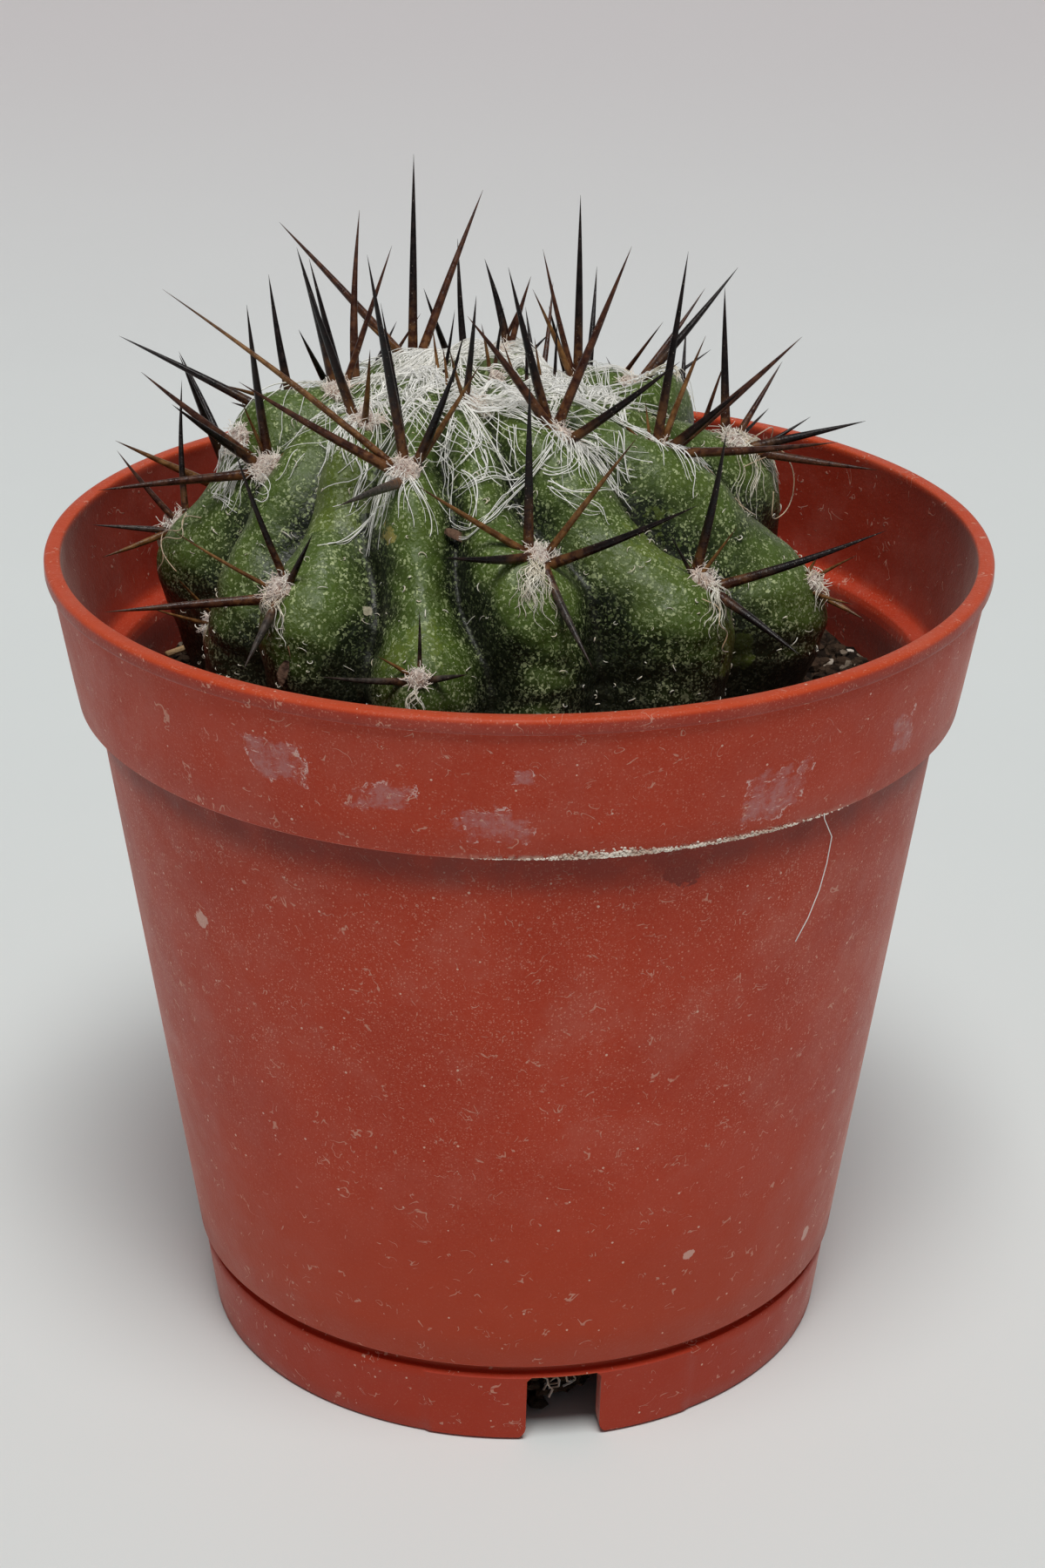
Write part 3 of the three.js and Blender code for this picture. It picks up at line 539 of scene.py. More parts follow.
class Paint:
    """A procedural material, built from nodes that read object coordinates in millimetres."""

    def __init__(self, name):
        self.material = bpy.data.materials.new(name)
        self.material.use_nodes = True
        self.tree = self.material.node_tree
        coordinates = self.tree.nodes.new("ShaderNodeTexCoord")
        self.mm = self.vector("MULTIPLY", coordinates.outputs["Object"], (1000, 1000, 1000))
        self.colour = None

    def node(self, kind, inputs, **settings):
        made = self.tree.nodes.new(kind)
        for key, value in settings.items():
            setattr(made, key, value)
        for key, value in inputs.items():
            self.put(made.inputs[key], value)
        return made

    def put(self, socket, value):
        if isinstance(value, bpy.types.NodeSocket):
            self.tree.links.new(value, socket)
        elif socket.type == "RGBA" and len(value) == 3:
            socket.default_value = (*value, 1)
        else:
            socket.default_value = value

    def math(self, operation, a, b=0.0):
        return self.node("ShaderNodeMath", {0: a, 1: b}, operation=operation).outputs[0]

    def vector(self, operation, a, b=(0, 0, 0)):
        made = self.node("ShaderNodeVectorMath", {0: a, 1: b}, operation=operation)
        return made.outputs["Value" if operation in ("LENGTH", "DOT_PRODUCT") else "Vector"]

    def fold(self, operation, values):
        total = values[0]
        for value in values[1:]:
            total = self.math(operation, total, value)
        return total

    def times(self, *values):
        return self.fold("MULTIPLY", values)

    def most(self, *values):
        return self.fold("MAXIMUM", values)

    def span(self, value, low, high, to_low=0.0, to_high=1.0):
        limits = {"Value": value, "From Min": low, "From Max": high, "To Min": to_low, "To Max": to_high}
        return self.node("ShaderNodeMapRange", limits, interpolation_type="SMOOTHSTEP").outputs[0]

    def fall(self, value, low, high):
        return self.span(value, low, high, 1.0, 0.0)

    def value(self, name):
        return self.node("ShaderNodeAttribute", {}, attribute_name=name).outputs["Fac"]

    def axis(self, which):
        return self.node("ShaderNodeSeparateXYZ", {0: self.mm}).outputs[which]

    def stretched(self, scale, turn):
        inputs = {"Vector": self.mm, "Scale": scale, "Rotation": turn}
        return self.node("ShaderNodeMapping", inputs).outputs[0]

    def noise(self, scale, detail, rough=0.55, vector=None, distortion=0.0):
        return self.node("ShaderNodeTexNoise", {"Vector": vector or self.mm, "Scale": scale, "Detail": detail,
                                                "Roughness": rough, "Distortion": distortion}).outputs[0]

    def haze(self, scale, detail, low, high, to_low=0.0, to_high=1.0, rough=0.55):
        return self.span(self.noise(scale, detail, rough), low, high, to_low, to_high)

    def cells(self, scale):
        """The distance to the nearest of many scattered points, and the random tints of that point."""
        made = self.node("ShaderNodeTexVoronoi", {"Vector": self.mm, "Scale": scale}).outputs
        return made["Distance"], self.node("ShaderNodeSeparateColor", {0: made["Color"]}).outputs

    def dots(self, scale, radius):
        return self.math("LESS_THAN", self.cells(scale)[0], radius)

    def blob(self, centre, radius, ragged=0.5, scale=1.2, flat=1.0):
        """1 inside a ragged patch round a point, 0 outside. A flat one is wider than it is high."""
        near = self.vector("MULTIPLY", self.vector("SUBTRACT", self.mm, centre), (1.0, 1.0, flat))
        rag = self.haze(scale, 5, 0.25, 0.75, -ragged * radius, ragged * radius, rough=0.65)
        return self.fall(self.math("ADD", self.vector("LENGTH", near), rag), radius * 0.85, radius)

    def patch(self, centre, half_width, half_height, lean):
        """Under 1 inside a rough four-sided patch on the pot's outside, over 1 outside. Its sides lean."""
        angle = math.atan2(centre[0], -centre[1])
        right = (math.cos(angle), math.sin(angle), lean)
        out = (math.sin(angle), -math.cos(angle), 0)
        offset = self.vector("SUBTRACT", self.mm, centre)
        sides = []
        for way, half in ((right, half_width), ((0, 0, 1), half_height), (out, PATCH_DEPTH)):
            along = self.math("ABSOLUTE", self.vector("DOT_PRODUCT", offset, way))
            sides.append(self.math("DIVIDE", along, half))
        return self.math("ADD", self.most(*sides), self.haze(1.0, 6, 0.25, 0.75, -0.5, 0.5, rough=0.7))

    def bump(self, height, distance, strength=1.0, under=None):
        inputs = {"Height": height, "Distance": distance * MM, "Strength": strength}
        if under is not None:
            inputs["Normal"] = under
        return self.node("ShaderNodeBump", inputs).outputs[0]

    def mix(self, share, a, b):
        return self.node("ShaderNodeMix", {0: share, 6: a, 7: b}, data_type="RGBA").outputs[2]

    def coat(self, colour, *shares):
        """Lays a colour over what is painted so far, by the product of the shares."""
        self.colour = self.mix(self.times(*shares), self.colour, colour)

    def finished(self, **values):
        """Sets the shader's sockets by name, with what is painted as its base colour."""
        shader = self.tree.nodes["Principled BSDF"]
        for key, value in {"Base_Color": self.colour, **values}.items():
            self.put(shader.inputs[key.replace("_", " ")], value)
        return self.material


def skin_material():
    p = Paint("cactus_skin")
    low = p.value("low")
    groove = p.value("groove")
    middle = p.noise(0.9, 4)
    # Painted light and shade: the colour is dark in hollows and on down-facing slopes, and bright green on
    # up-facing bump tops, with a little more green there.
    relief_shade = p.math("ADD", p.value("relief_shade"), p.span(middle, 0.3, 0.7, -0.10, 0.10))
    top = p.span(relief_shade, 0.22, 0.82)
    p.colour = p.mix(top, (0.006, 0.012, 0.002), (0.076, 0.124, 0.016))
    p.coat((0.095, 0.130, 0.020), p.haze(0.22, 3, 0.45, 0.65), top, 0.4)
    # Painted shade: darker in the furrows and on the lower half of the plant.
    p.coat((0.006, 0.009, 0.003), p.span(groove, 0.35, 0.90), 0.5)
    p.coat((0.012, 0.013, 0.006), p.span(low, 0.1, 0.9), 0.60)
    p.coat((0.150, 0.200, 0.025), p.most(*[p.blob(*place) for place in LIGHT_PLACES]), 0.5)
    # Pale flecks, dense and crisp: round ones and short worms, greyer and closer near the soil, and dimmer in
    # the hollows as painted shade.
    distance, tints = p.cells(4.4)
    dot = p.math("LESS_THAN", distance, p.span(tints[0], 0.0, 1.0, 0.12, 0.40))
    worm = p.span(p.noise(4.6, 1, 0.5, distortion=1.0), 0.570, 0.590)
    fleck = p.most(dot, worm)
    tint = p.mix(p.span(tints[1], 0.2, 1.0), (0.130, 0.180, 0.058), (0.450, 0.520, 0.255))
    tint = p.mix(p.times(p.span(low, 0.2, 0.9), 0.75), tint, (0.250, 0.235, 0.160))
    patchy = p.most(p.haze(0.8, 4, 0.30, 0.62, 0.45, 1.0), p.span(low, 0.4, 0.9))
    p.coat(tint, fleck, patchy, p.span(relief_shade, 0.0, 0.5, 0.55, 1.0), 0.92)
    p.coat((0.66, 0.67, 0.48), p.dots(2.6, 0.085), 0.8)
    # Painted shade in the creases and hollows, stronger near the soil, then one corky spot and two pale
    # scars.
    p.coat((0.012, 0.012, 0.007), p.span(groove, 0.78, 0.94), 0.7)
    p.coat((0.008, 0.010, 0.004), p.fall(relief_shade, 0.0, 0.40), p.span(low, 0.0, 0.5, 0.30, 0.75))
    p.coat((0.46, 0.36, 0.10), p.blob((-7.0, -12.3, 54.0), 0.5, 0.9, 2.5), 0.6)
    scar = p.most(p.blob((-17.9, -5.6, 45.6), 0.6, 0.2), p.blob((-8.2, -13.0, 49.9), 0.30, 0.5))
    p.coat((0.55, 0.50, 0.36), scar, 0.85)
    pores = p.bump(p.noise(2.6, 5), 0.12, 0.7, p.bump(fleck, 0.03, 0.8))
    return p.finished(Roughness=p.span(middle, 0.3, 0.7, 0.34, 0.50), Specular_IOR_Level=0.38,
                      Normal=p.bump(p.noise(0.7, 3), 0.35, 0.6, pores))


def spine_material():
    p = Paint("spine_horn")
    along = p.value("along")
    tone = p.value("tone")
    streak = p.noise(2.2, 4)
    p.colour = p.mix(p.span(streak, 0.4, 0.7), (0.004, 0.002, 0.002), (0.014, 0.006, 0.005))
    for start, dark, pale in ((0.2, (0.034, 0.010, 0.006), (0.100, 0.034, 0.015)),
                              (1.2, (0.120, 0.048, 0.014), (0.270, 0.130, 0.040)),
                              (2.2, (0.022, 0.017, 0.015), (0.085, 0.066, 0.054))):
        p.coat(p.mix(p.span(streak, 0.35, 0.7), dark, pale), p.span(tone, start, start + 0.6))
    foot = p.mix(p.span(streak, 0.4, 0.6), (0.060, 0.018, 0.008), (0.190, 0.078, 0.024))
    p.coat(foot, p.fall(along, 0.08, 0.45), 0.8)
    p.coat((0.030, 0.012, 0.009), p.span(along, 0.70, 0.95), p.span(tone, 1.0, 2.0, 0.15, 0.75))
    p.coat((0.36, 0.30, 0.24), p.dots(4.5, 0.15), p.haze(1.0, 2, 0.45, 0.65), 0.5)
    return p.finished(Roughness=p.span(streak, 0.3, 0.7, 0.26, 0.44), Specular_IOR_Level=0.30,
                      Normal=p.bump(p.noise(5.0, 4), 0.05, 0.8))


def wool_material(name, pale, deep, glow=0.0):
    p = Paint(name)
    p.colour = p.mix(p.haze(0.7, 3, 0.35, 0.65), deep, pale)
    # The glow is painted light: the fibres give off a little light in their pale colour.
    return p.finished(Roughness=0.35, Specular_IOR_Level=0.9, Sheen_Weight=1.0, Sheen_Roughness=0.5,
                      Coat_Weight=0.7, Coat_Roughness=0.3, Emission_Color=pale, Emission_Strength=glow)


def felt_material():
    p = Paint("areole_felt")
    tangle = p.noise(3.5, 6, 0.7, distortion=1.5)
    p.colour = p.mix(p.span(tangle, 0.35, 0.65), (0.28, 0.12, 0.08), (0.97, 0.88, 0.77))
    p.coat((0.50, 0.30, 0.16), p.haze(0.6, 2, 0.5, 0.7), 0.35)
    # The glow is painted light: the felt gives off a little light in its own colour.
    return p.finished(Roughness=0.9, Specular_IOR_Level=0.15, Sheen_Weight=0.6, Emission_Color=p.colour,
                      Emission_Strength=0.06, Normal=p.bump(tangle, 0.2))


def pot_material():
    p = Paint("pot_plastic")
    z = p.axis(2)
    p.colour = p.mix(p.haze(0.12, 3, 0.35, 0.65), (0.425, 0.0340, 0.0085), (0.470, 0.0405, 0.0108))
    p.coat((0.50, 0.072, 0.032), p.haze(5.0, 3, 0.35, 0.7, 0.0, 0.35, rough=0.7))
    # Painted shade: the body is darker towards the foot, and darker still on the foot below the groove.
    p.coat((0.425, 0.046, 0.0115), p.span(z, 6, 22, 0.80, 0.0))
    p.coat((0.395, 0.031, 0.0082), p.span(z, 4.8, 5.2, 0.90, 0.0))
    # Painted light: the top of the lip is a brighter orange.
    p.coat((0.56, 0.066, 0.016), p.span(z, 49.20, 49.42), 0.9)
    # Painted shade: the inside is darker, and so is the outer face of the lip. The slopes are those of the
    # walls.
    radius = p.vector("LENGTH", p.vector("MULTIPLY", p.mm, (1, 1, 0)))
    band_foot = p.math("SUBTRACT", radius, p.math("MULTIPLY", z, 0.176))
    body_foot = p.math("SUBTRACT", radius, p.math("MULTIPLY", z, 0.140))
    in_band = p.times(p.fall(band_foot, 18.1, 18.4), p.fall(z, 49.0, 49.3), p.span(z, 42.0, 42.6))
    in_body = p.times(p.fall(body_foot, 18.5, 18.9), p.span(z, 5.6, 6.2), p.fall(z, 41.2, 41.6))
    inside = p.most(in_band, in_body)
    outside = p.math("SUBTRACT", 1.0, inside)
    p.coat((0.170, 0.014, 0.008), inside, 0.62)
    lip_face = p.times(p.span(z, 48.45, 48.60), p.fall(z, 49.15, 49.35), p.span(radius, 27.2, 27.3))
    p.coat((0.200, 0.034, 0.027), lip_face, 0.45)
    # Pale dust: fine specks, sparse round spots, crumbly dots and a faint bloom, most on the upper body.
    belt = p.times(p.span(z, 10, 30, 0.12, 1.0), p.span(z, 41.2, 41.6, 1.0, 0.55))
    distance, tints = p.cells(6.0)
    speck = p.math("LESS_THAN", distance, p.span(tints[0], 0.40, 1.0, 0.0, 0.36))
    p.coat((0.70, 0.30, 0.21), speck, belt, p.span(inside, 0.0, 1.0, 1.0, 0.3),
           p.haze(0.35, 4, 0.30, 0.62, 0.20, 1.0), 0.60)
    distance, tints = p.cells(1.6)
    spot = p.math("LESS_THAN", distance, p.span(tints[0], 0.70, 1.0, 0.0, 0.13))
    p.coat((0.85, 0.58, 0.46), spot, outside, 0.75)
    p.coat((0.72, 0.34, 0.25), p.haze(9.0, 2, 0.60, 0.66, rough=0.7), belt,
           p.haze(0.3, 3, 0.35, 0.6, 0.3, 1.0), outside, 0.55)
    p.coat((0.72, 0.42, 0.34), p.haze(0.2, 6, 0.45, 0.7, rough=0.7), belt, 0.10)
    # Scuffs on the band, rough four-sided patches, and small chips on the body.
    scuff = p.fold("MINIMUM", [p.patch(*place) for place in SCUFFS])
    p.coat((0.50, 0.27, 0.27), p.fall(scuff, 0.55, 1.05),
           p.haze(1.1, 6, 0.35, 0.62, 0.10, 1.0, rough=0.75), 0.52)
    rim = p.times(p.span(scuff, 0.82, 0.92), p.fall(scuff, 0.97, 1.03), p.haze(1.2, 4, 0.50, 0.60))
    streaks = p.noise(1.6, 5, 0.75, vector=p.stretched((0.7, 0.7, 3.0), (0, 0.5, 0)))
    streaks = p.times(p.fall(scuff, 0.9, 1.0), p.span(streaks, 0.60, 0.66))
    p.coat((0.82, 0.62, 0.57), p.most(rim, streaks), 0.70)
    p.coat((0.80, 0.55, 0.46), p.most(*[p.blob(*place) for place in CHIPS]), 0.6)
    # Squiggly hair-thin scratches: narrow contour lines of a noise, shown in patches.
    scratches = []
    for scale, wide, low in ((0.45, 0.009, 0.60), (0.9, 0.016, 0.62)):
        contour = p.math("ABSOLUTE", p.math("SUBTRACT", p.noise(scale, 1, 0.5, distortion=1.6), 0.5))
        place = p.noise(0.65, 2, vector=p.stretched((1.0, 1.0, 1.8), (0.5, 0.2, scale)))
        scratches.append(p.times(p.math("LESS_THAN", contour, wide), p.span(place, low, low + 0.04)))
    scratch = p.most(*scratches)
    p.coat((0.80, 0.50, 0.38), scratch, 0.42)
    # Limescale along the band's lower edge at the front.
    x = p.axis(0)
    edge = p.times(p.span(z, 40.75, 40.95), p.fall(z, 41.0, 41.35), p.span(p.axis(1), -15.0, -19.0))
    reach = p.times(p.span(x, -4.5, 2.0), p.span(x, 8.0, 18.5, 1.0, 0.25))
    crust = p.times(edge, reach, p.haze(2.2, 6, 0.40, 0.52, rough=0.7))
    p.coat((0.80, 0.62, 0.50), crust, 0.7)
    # Painted shadow under the band, with a darker smear at the right.
    band_shadow = p.times(p.span(z, 37.6, 39.8), p.fall(z, 40.85, 40.95), p.haze(0.4, 4, 0.25, 0.6, 0.6, 1.0))
    smear = p.blob((8.8, -23.2, 38.9), 1.3, 0.6, flat=1.8)
    p.coat((0.150, 0.020, 0.013), p.most(band_shadow, smear), 0.72)
    grain = p.bump(p.noise(4.0, 5, 0.6), 0.03, 0.8)
    worn = p.bump(p.most(crust, p.times(scratch, 0.3), p.times(spot, 0.4)), 0.12, 0.8, grain)
    return p.finished(Roughness=p.haze(0.45, 5, 0.3, 0.7, 0.46, 0.60, rough=0.6), Specular_IOR_Level=0.25,
                      Sheen_Weight=0.22, Sheen_Roughness=0.3, Sheen_Tint=(1.0, 0.84, 0.76),
                      Subsurface_Weight=0.10, Subsurface_Scale=0.001, Subsurface_Radius=(1.2, 0.30, 0.10),
                      Normal=p.bump(p.noise(0.35, 2), 0.12, 0.5, worn))


def soil_material():
    p = Paint("potting_soil")
    tints = p.cells(1.6)[1]
    p.colour = p.mix(p.span(tints[0], 0.1, 0.9), (0.018, 0.011, 0.007), (0.085, 0.052, 0.032))
    p.coat((0.30, 0.24, 0.18), p.math("GREATER_THAN", tints[1], 0.93))
    p.coat((0.120, 0.075, 0.045), p.haze(2.0, 6, 0.5, 0.7, rough=0.7), 0.4)
    return p.finished(Roughness=0.95, Specular_IOR_Level=0.2, Normal=p.bump(p.noise(2.2, 6, 0.7), 0.5))


def grit_material(name, dark, pale):
    p = Paint(name)
    p.colour = p.mix(p.haze(0.55, 3, 0.4, 0.6), dark, pale)
    p.coat(pale, p.haze(4.0, 5, 0.45, 0.65), 0.5)
    return p.finished(Roughness=0.9, Specular_IOR_Level=0.25, Normal=p.bump(p.noise(4.0, 5), 0.12))


def floor_material():
    p = Paint("studio_paper")
    p.colour = p.mix(p.haze(0.02, 3, 0.3, 0.7), (0.775, 0.815, 0.806), (0.787, 0.828, 0.818))
    # Painted shade: the paper is darker towards the back.
    p.coat((0.68, 0.655, 0.66), p.span(p.axis(1), 80, 450))
    return p.finished(Roughness=0.85, Specular_IOR_Level=0.1)


# Camera, light and room.

def stand(right, up, back, place):
    """The matrix of a camera or lamp, which looks away from its back."""
    rows = zip(np.stack([right, up, back], 1), place)
    return Matrix([(*row, at) for row, at in rows] + [(0, 0, 0, 1)])


pitch = math.radians(CAMERA_PITCH)
roll = math.radians(CAMERA_ROLL)
forward = np.array([0, math.cos(pitch), -math.sin(pitch)])
level_right = np.array([1.0, 0, 0])
level_up = np.array([0, math.sin(pitch), math.cos(pitch)])
camera_right = math.cos(roll) * level_right + math.sin(roll) * level_up
camera_up = -math.sin(roll) * level_right + math.cos(roll) * level_up
camera_data = bpy.data.cameras.new("camera")
camera_data.lens = CAMERA_LENS
camera_data.sensor_width = 36
camera_data.clip_start = 0.01
camera = bpy.data.objects.new("camera", camera_data)
COLLECTION.objects.link(camera)
eye = (np.array(CAMERA_TARGET) - CAMERA_DISTANCE * forward) * MM
camera.matrix_world = stand(camera_right, camera_up, -forward, eye)
bpy.context.scene.camera = camera
bpy.context.scene.view_settings.view_transform = "Standard"

lamp_data = bpy.data.lights.new("softbox", "AREA")
lamp_data.size = SOFTBOX_SIZE
lamp_data.energy = SOFTBOX_POWER
lamp_data.color = SOFTBOX_COLOUR
lamp = bpy.data.objects.new("softbox", lamp_data)
COLLECTION.objects.link(lamp)
back = unit(np.array(SOFTBOX_PLACE))
side = unit(np.cross((0.0, 1.0, 0.01), back))
lamp.matrix_world = stand(side, np.cross(back, side), back, SOFTBOX_PLACE)

world = bpy.data.worlds.new("room")
world.use_nodes = True
sky = world.node_tree.nodes["Background"]
sky.inputs["Color"].default_value = SKY_COLOUR
sky.inputs["Strength"].default_value = SKY_STRENGTH
bpy.context.scene.world = world

# A paper floor that sweeps up far behind the object.
sheet = np.array([(x, y, z - PAPER_GAP) for y, z in SWEEP for x in SWEEP_COLUMNS], float)
paper_faces = grid_faces(len(SWEEP), len(SWEEP_COLUMNS), False)
make_object("paper_sweep", sheet, paper_faces, floor_material())

# The plant.

columns = RIBS[0] + 360 * np.arange(SKIN_COLUMNS) / SKIN_COLUMNS
rows = np.concatenate([np.linspace(0.7, 110, SKIN_ROWS), np.linspace(114, PLANT_BASE_ANGLE, BURIED_ROWS)])
down_grid, column_grid = np.meshgrid(rows, columns, indexing="ij")
turn_grid = column_grid - twist(down_grid)
t = np.radians(turn_grid)
calm = 1 - smoothstep(FADE_START, FADE_END, down_grid)
ripple = 0.13 * np.sin(7 * t + 0.11 * down_grid) * np.sin(0.23 * down_grid + 3 * t)
ripple += 0.07 * np.sin(19 * t - 0.31 * down_grid + 1.3) * np.sin(0.41 * down_grid + 5 * t)
crease = -0.10 * np.exp(-((np.sin(0.5 * np.radians(down_grid * 9 + 40 * np.sin(3 * t)))) ** 2) / 0.02)
crease *= smoothstep(66, 84, down_grid)
extra = calm * (ripple + crease) * smoothstep(4, 20, down_grid)
skin_points, _, groove_values = plant_surface(turn_grid, down_grid, extra)
flat = skin_points.reshape(-1, 3)
top_point = flat[:SKIN_COLUMNS].mean(0)
base_point = np.array([PLANT_X, 0, outline(PLANT_BASE_ANGLE)[1]])
points = np.vstack([flat, top_point, base_point])
faces = grid_faces(len(rows), SKIN_COLUMNS, True)
last_row = (len(rows) - 1) * SKIN_COLUMNS
for i in range(SKIN_COLUMNS):
    j = (i + 1) % SKIN_COLUMNS
    faces.append([len(flat), i, j])
    faces.append([len(flat) + 1, last_row + j, last_row + i])
low_values = smoothstep(48, 100, down_grid).ravel()
# How far each point stands over or under its surroundings, and how far it faces up, as painted shade: about 1
# on a bump, 0 in a hollow.
heights = 1.4 * tubercles(turn_grid, down_grid)[0] - 0.45 * RIB_DEPTH * groove_values
around = heights
for _ in range(SMOOTHING_ROUNDS):
    above_below = np.pad(around, ((1, 1), (0, 0)), "edge")
    around = (above_below[:-2] + above_below[2:] + np.roll(around, 1, 1) + np.roll(around, -1, 1)) / 4
facing = unit(np.cross(np.gradient(skin_points, axis=0), np.gradient(skin_points, axis=1)))[..., 2]
facing = facing * np.sign(facing[5].mean())
relief_shade = HEIGHT_SHARE * (heights - around) + FACING_SHARE * (smoothstep(-0.5, 0.6, facing) - FACING_LEVEL)
relief_shade = np.clip(0.5 + relief_shade, 0, 1)
skin = make_object("plant_skin", points, faces, skin_material(), values={
    "low": np.append(low_values, [0, 1]),
    "groove": np.append(groove_values.ravel(), [0, 0]),
    "relief_shade": np.append(relief_shade.ravel(), [0.5, 0.5]),
})
settle(skin, "cactus_flesh", "cactus")

# Spines: gently bent, even past the middle, then drawn to a point.
steps = np.linspace(0, 1, SPINE_STEPS)
profile = 1.02 - steps ** 1.9
profile *= 1 + 0.10 * np.exp(-((steps - 0.10) / 0.06) ** 2)
spine_paths = []
spine_radii = []
tones = []
for number, (degrees, down, spines) in enumerate(AREOLES):
    place = areole_frame(degrees, down)
    at, across, up, normal = place
    for tip, weight, tone in spine_tips(number, place, spines):
        tip = keep_inside(tip)
        lean = tip - at
        sideways = unit(lean - np.dot(lean, normal) * normal)
        steep = max(0, float(np.dot(unit(lean), normal)))
        root = at - (ROOT_DEPTH + STEEP_DEPTH * steep) * normal + ROOT_SHARE * SPINE_SPREAD * sideways
        length = np.linalg.norm(tip - root)
        bend_way = unit(np.cross(tip - root, rng.normal(size=3)))
        bend = rng.uniform(0.0, 0.022) * length
        shaft = steps[:, None] * (tip - TIP_GAP * unit(tip - root) - root)
        spine_paths.append(root + shaft + bend * np.sin(np.pi * steps)[:, None] * bend_way)
        spine_radii.append(SPINE_RADII[weight] * profile)
        tones.append(tone + rng.uniform(-0.15, 0.3))
points, faces = tubes(np.array(spine_paths), np.array(spine_radii), SPINE_SIDES, 0.07)
horn = make_object("plant_spines", points, faces, spine_material(), values={
    "along": np.tile(np.repeat(steps, SPINE_SIDES), len(tones)),
    "tone": np.repeat(tones, SPINE_SIDES * SPINE_STEPS),
})
settle(horn, "cactus_flesh", "cactus")

# Areole felt: a low uneven dome, and short curled fibres standing out of it.
pads = Heap()
fibre_paths = []
fibre_radii = []
for degrees, down, spines in AREOLES + FELT_BAND:
    at, across, up, normal = areole_frame(degrees, down)
    size = SMALL_PAD_SIZE if down > SMALL_PAD_DOWN else PAD_SIZE
    if spines is YOUNG_SPINES:
        size = YOUNG_PAD_SIZE
    dome = []
    for ring, (radius, height) in enumerate(PAD_RINGS):
        for i in range(PAD_SIDES):
            turn = 2 * math.pi * i / PAD_SIDES
            r = size * radius * (1 + rng.uniform(-0.12, 0.12))
            h = size * (height + (rng.uniform(-0.08, 0.12) if ring > 1 else 0))
            dome.append(at + r * (math.cos(turn) * across + math.sin(turn) * up) + h * normal)
    faces = [[a, d, c, b] for a, b, c, d in grid_faces(len(PAD_RINGS), PAD_SIDES, True)]
    top_ring = len(dome) - PAD_SIDES
    faces += [[top_ring + i, top_ring + (i + 1) % PAD_SIDES, len(dome)] for i in range(PAD_SIDES)]
    faces.append(list(range(PAD_SIDES))[::-1])
    pads.add(dome + [at + size * PAD_TOP * normal], faces)
    for _ in range(round(40 + 110 * (size - 0.5) / 0.38)):
        turn = rng.uniform(0, 2 * math.pi)
        reach = 0.95 * size * math.sqrt(rng.uniform(0, 1))
        away = math.cos(turn) * across + math.sin(turn) * up
        heading = away * rng.uniform(0.3, 1.3) + normal * rng.uniform(0.2, 1.0)
        heading = unit(heading + 0.35 * rng.normal(size=3))
        point = at + reach * away + 0.2 * size * normal
        step = rng.uniform(0.07, 0.17) * (0.6 + 0.4 * size)
        curl = 0.55 * rng.normal(size=3)
        path = [point]
        for _ in range(FIBRE_STEPS - 1):
            heading = unit(heading + curl + 0.28 * rng.normal(size=3) - 0.12 * normal)
            point = point + step * heading
            path.append(point)
        fibre_paths.append(path)
        fibre_radii.append(np.linspace(0.030, 0.018, FIBRE_STEPS) * rng.uniform(0.8, 1.3))
settle(pads.made("areole_pads", felt_material(), smooth=True), "cactus_flesh", "cactus")
felt_paint = wool_material("felt_fibre", (0.96, 0.90, 0.80), (0.82, 0.62, 0.50), 0.13)
strands("areole_fibres", fibre_paths, fibre_radii, 3, felt_paint, "cactus_flesh")


def bundled(tufts, hairs, steps, bend_spread, wave, fall):
    """Paths of hairs in bundles, on a flat map of the plant with the crown in its middle."""
    starts = []
    headings = []
    lengths = []
    for degrees, down, count, shortest, longest, wide, high, heading, fan in tufts:
        t = math.radians(degrees)
        out = np.array([math.sin(t), -math.cos(t)])
        side = np.array([math.cos(t), math.sin(t)])
        aside = rng.normal(0, wide, (count, 1)) * side + rng.normal(0, high, (count, 1)) * out
        starts.append(down / DOWN_PER_MM * out + aside)
        headings.append(np.radians(heading + rng.normal(0, fan, count)))
        lengths.append(rng.uniform(shortest, longest, count))
    point = np.repeat(np.concatenate(starts), hairs, 0)
    count = len(point)
    point = point + rng.normal(0, 0.15, (count, 2))
    heading = np.repeat(np.concatenate(headings), hairs) + rng.normal(0, 0.15, count)
    step = np.repeat(np.concatenate(lengths), hairs) * rng.uniform(0.6, 1, count) / (steps - 1)
    bend = np.repeat(rng.normal(0, bend_spread, count // hairs), hairs)
    bend = bend + rng.normal(0, 0.3 * bend_spread, count)
    phase = np.repeat(rng.uniform(0, 6.3, count // hairs), hairs) + rng.normal(0, 0.4, count)
    out = unit(point)
    way = np.cos(heading)[:, None] * out + np.sin(heading)[:, None] * np.stack([-out[:, 1], out[:, 0]], 1)
    path = [point]
    for i in range(steps - 1):
        turn = (step * (bend + wave * np.sin(phase + (1.2 + wave) * i * step)))[:, None]
        way = unit(way + turn * np.stack([-way[:, 1], way[:, 0]], 1) + fall * step[:, None] * unit(point))
        point = point + step[:, None] * way
        path.append(point)
    return np.stack(path, 1)


